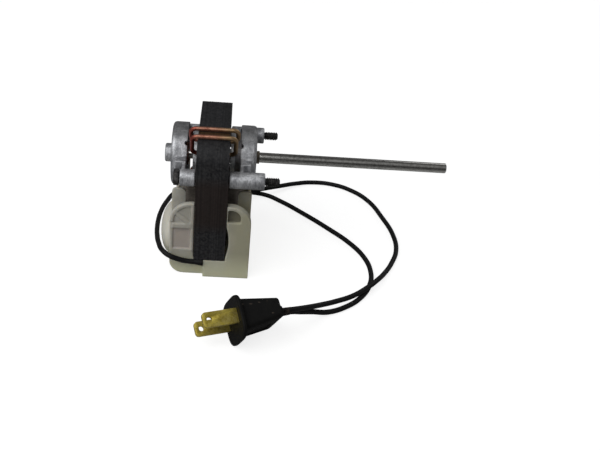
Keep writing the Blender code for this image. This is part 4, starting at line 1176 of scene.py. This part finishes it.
# %% Blades
for label, side in (("upper", 1), ("lower", -1)):
    n = side * BLADE_AT
    blade = block("brass_blade_" + label, (-2.7, n - BLADE_HALF_T, -BLADE_HALF_W),
                  (BLADE_TIP, n + BLADE_HALF_T, BLADE_HALF_W))
    round_edges(blade, 1.5, 6, "y", x=BLADE_TIP)
    hole = bar("hole", BLADE_HOLE_R, n - 3, n + 3, "Y", (BLADE_HOLE_AT, 0.0), 40)
    fold_low = block("fold", (-3, n - 0.06, -4), (17, n + 0.06, -2.95))
    fold_high = block("fold", (-3, n - 0.06, 2.95), (17, n + 0.06, 4))
    carve(blade, hole, fold_low, fold_high)
    chamfer_all(blade, 0.14, 2, 50)
    blade.data.transform(plug_matrix)
    settle(blade, "stator", ["plug_blade_" + label], "brass", 35)

# %% [markdown]
# ## Sleeves of the leads
# Where a lead leaves the cover it runs through a short black sleeve that narrows towards the
# lead, and where it enters the plug it has a moulded collar of the same kind. They keep the lead
# from kinking.

# %% Sleeves
def sleeve(name, start, toward, length, wide, thin, slot):
    """A tapered collar that begins at a point and runs along a direction."""
    steps = [(0, wide - 0.15), (0.15, wide), (length * 0.3, wide), (length, thin)]
    obj = turned(name, steps, (0.0, 0.0), 40)
    carve(obj, bar("hole", LEAD_R - 0.05, -1, length + 1, "X", (0.0, 0.0), 32))
    x = Vector(toward).normalized()
    y = Vector((0, 0, 1)).cross(x).normalized()
    axes = Matrix((x, y, x.cross(y))).transposed().to_4x4()
    obj.data.transform(Matrix.Translation(start) @ axes)
    settle(obj, "stator", [], slot, 40)
    return obj


near_sleeve = sleeve("near_lead_sleeve", (-2.7, -27.2, 7.8), (-1, 0, 0.06), 4.2, 1.75, 1.35,
                     "lead_black")
far_sleeve = sleeve("far_lead_sleeve", (4.0, 25.0, 7.6), (0, 1, -0.02), 4.6, 1.75, 1.35,
                    "lead_black")
collars = []
for label, end in (("near", end_a), ("far", end_b)):
    start = end + PLUG_A * 1.2
    collars.append(sleeve("plug_collar_" + label, start, -PLUG_A, 5.5, 1.42, 1.28, "plug_black"))

blades_and_plug = [plug, collars[0], bpy.data.objects["brass_blade_upper"],
                   bpy.data.objects["brass_blade_lower"]]
for lead, node, route, extra in ((near_lead, "lead_a", route_a, [near_sleeve, *blades_and_plug]),
                                 (far_lead, "lead_b", route_b, [far_sleeve, collars[1]])):
    lead.data.materials.append(finishes["lead_black"])
    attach(lead, "stator")
    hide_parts(node)
    print(lead.name, "is", round(route_length(route) * 1000), "mm long")

# %% [markdown]
# ## Finishes for the solids that stay
# What lies deep inside keeps its solid: the rotor, the felts, the retainers and the winding. Each
# gets the finish of its material all the same, because the parts are also looked at apart.

# %% Finish the remaining solids
inside_parts = {
    "core_bar": "lamination", "coil_winding": "winding", "rear_felt": "felt", "front_felt": "felt",
    "rear_retainer": "bright_steel", "front_retainer": "bright_steel",
    "rotor_core": "rotor_steel", "rotor_cage": "cast_metal",
    "rear_washer": "fibre", "front_washer": "fibre",
}
for node, slot in inside_parts.items():
    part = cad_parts[node]
    part.data.materials.clear()
    part.data.materials.append(finishes[slot])
print("finished solids:", len(inside_parts))

# %% [markdown]
# ## Floor, background and light
# The motor stands on a plain white table that keeps a soft shadow. The table glows a little and
# the world behind it is white, but only for the camera. The bright metals mirror a grey that is
# darker below and lighter above, as in a room, and the rest of the world's light is dim. A big
# soft lamp stands in front at the left, high up, and a weak one lifts the edges from behind at
# the right.

# %% Floor
bare()
bpy.ops.mesh.primitive_plane_add(size=6.0, location=(0, 0, 0))
floor = bpy.context.active_object
floor.name = "white_table"
paper = bpy.data.materials.new("white_table")
paper.use_nodes = True
tree = paper.node_tree
shader = tree.nodes["Principled BSDF"]
shader.inputs["Base Color"].default_value = (0.42, 0.42, 0.42, 1)
shader.inputs["Roughness"].default_value = 0.9
shader.inputs["Specular IOR Level"].default_value = 0.1
path = add_node(tree, "LightPath")
glow = add_node(tree, "Emission", Color=(1, 1, 1, 1), Strength=0.80)
none = add_node(tree, "Emission", Color=(0, 0, 0, 1), Strength=0.0)
choice = add_node(tree, "MixShader")
total = add_node(tree, "AddShader")
wire(tree, (path, "Is Camera Ray", choice, 0), (none, 0, choice, 1), (glow, 0, choice, 2),
     (shader, 0, total, 0), (choice, 0, total, 1),
     (total, 0, tree.nodes["Material Output"], "Surface"))
floor.data.materials.append(paper)
print("the floor is", floor.dimensions.x, "m wide")

# %% World
world = bpy.data.worlds.new("studio")
bpy.context.scene.world = world
world.use_nodes = True
tree = world.node_tree
backdrop = tree.nodes["Background"]
backdrop.inputs["Color"].default_value = (1, 1, 1, 1)
path = add_node(tree, "LightPath")
mirror = add_math(tree, "MAXIMUM")
level_mix = add_mix(tree, "FLOAT", {2: 0.16})
spot = add_node(tree, "TexCoord")
apart = add_node(tree, "SeparateXYZ")
height = add_node(tree, "MapRange", From_Min=-0.1, From_Max=0.75, To_Min=0.05,
                  To_Max=0.22)
shown = add_mix(tree, "FLOAT", {3: 1.0})
either = add_math(tree, "MAXIMUM")
wire(tree, (spot, "Generated", apart, 0), (apart, "Z", height, "Value"),
     (path, "Is Camera Ray", shown, "Factor"), (height, 0, shown, 2),
     (path, "Is Glossy Ray", mirror, 0), (path, "Is Transmission Ray", mirror, 1),
     (mirror, 0, either, 0), (path, "Is Camera Ray", either, 1),
     (either, 0, level_mix, "Factor"), (shown, 0, level_mix, 3),
     (level_mix, 0, backdrop, "Strength"))
print("world nodes:", len(tree.nodes))


# %% Lamps
AIM = Vector((0, 0, 0.03))


def soft_lamp(name, place, size, power):
    """A lamp with a wide face, turned towards the motor's cover."""
    data = bpy.data.lights.new(name, "AREA")
    data.shape = "RECTANGLE"
    data.size, data.size_y = size
    data.energy = power
    lamp = new_object(name, data)
    lamp.location = place
    lamp.rotation_mode = "QUATERNION"
    lamp.rotation_quaternion = (AIM - Vector(place)).to_track_quat("-Z", "Y")
    return lamp


soft_lamp("key", (-0.48, -0.45, 0.74), (1.2, 1.0), 7.6)
soft_lamp("back_right", (0.6, 0.5, 0.5), (0.5, 0.4), 0.8)
print("lamps are set")
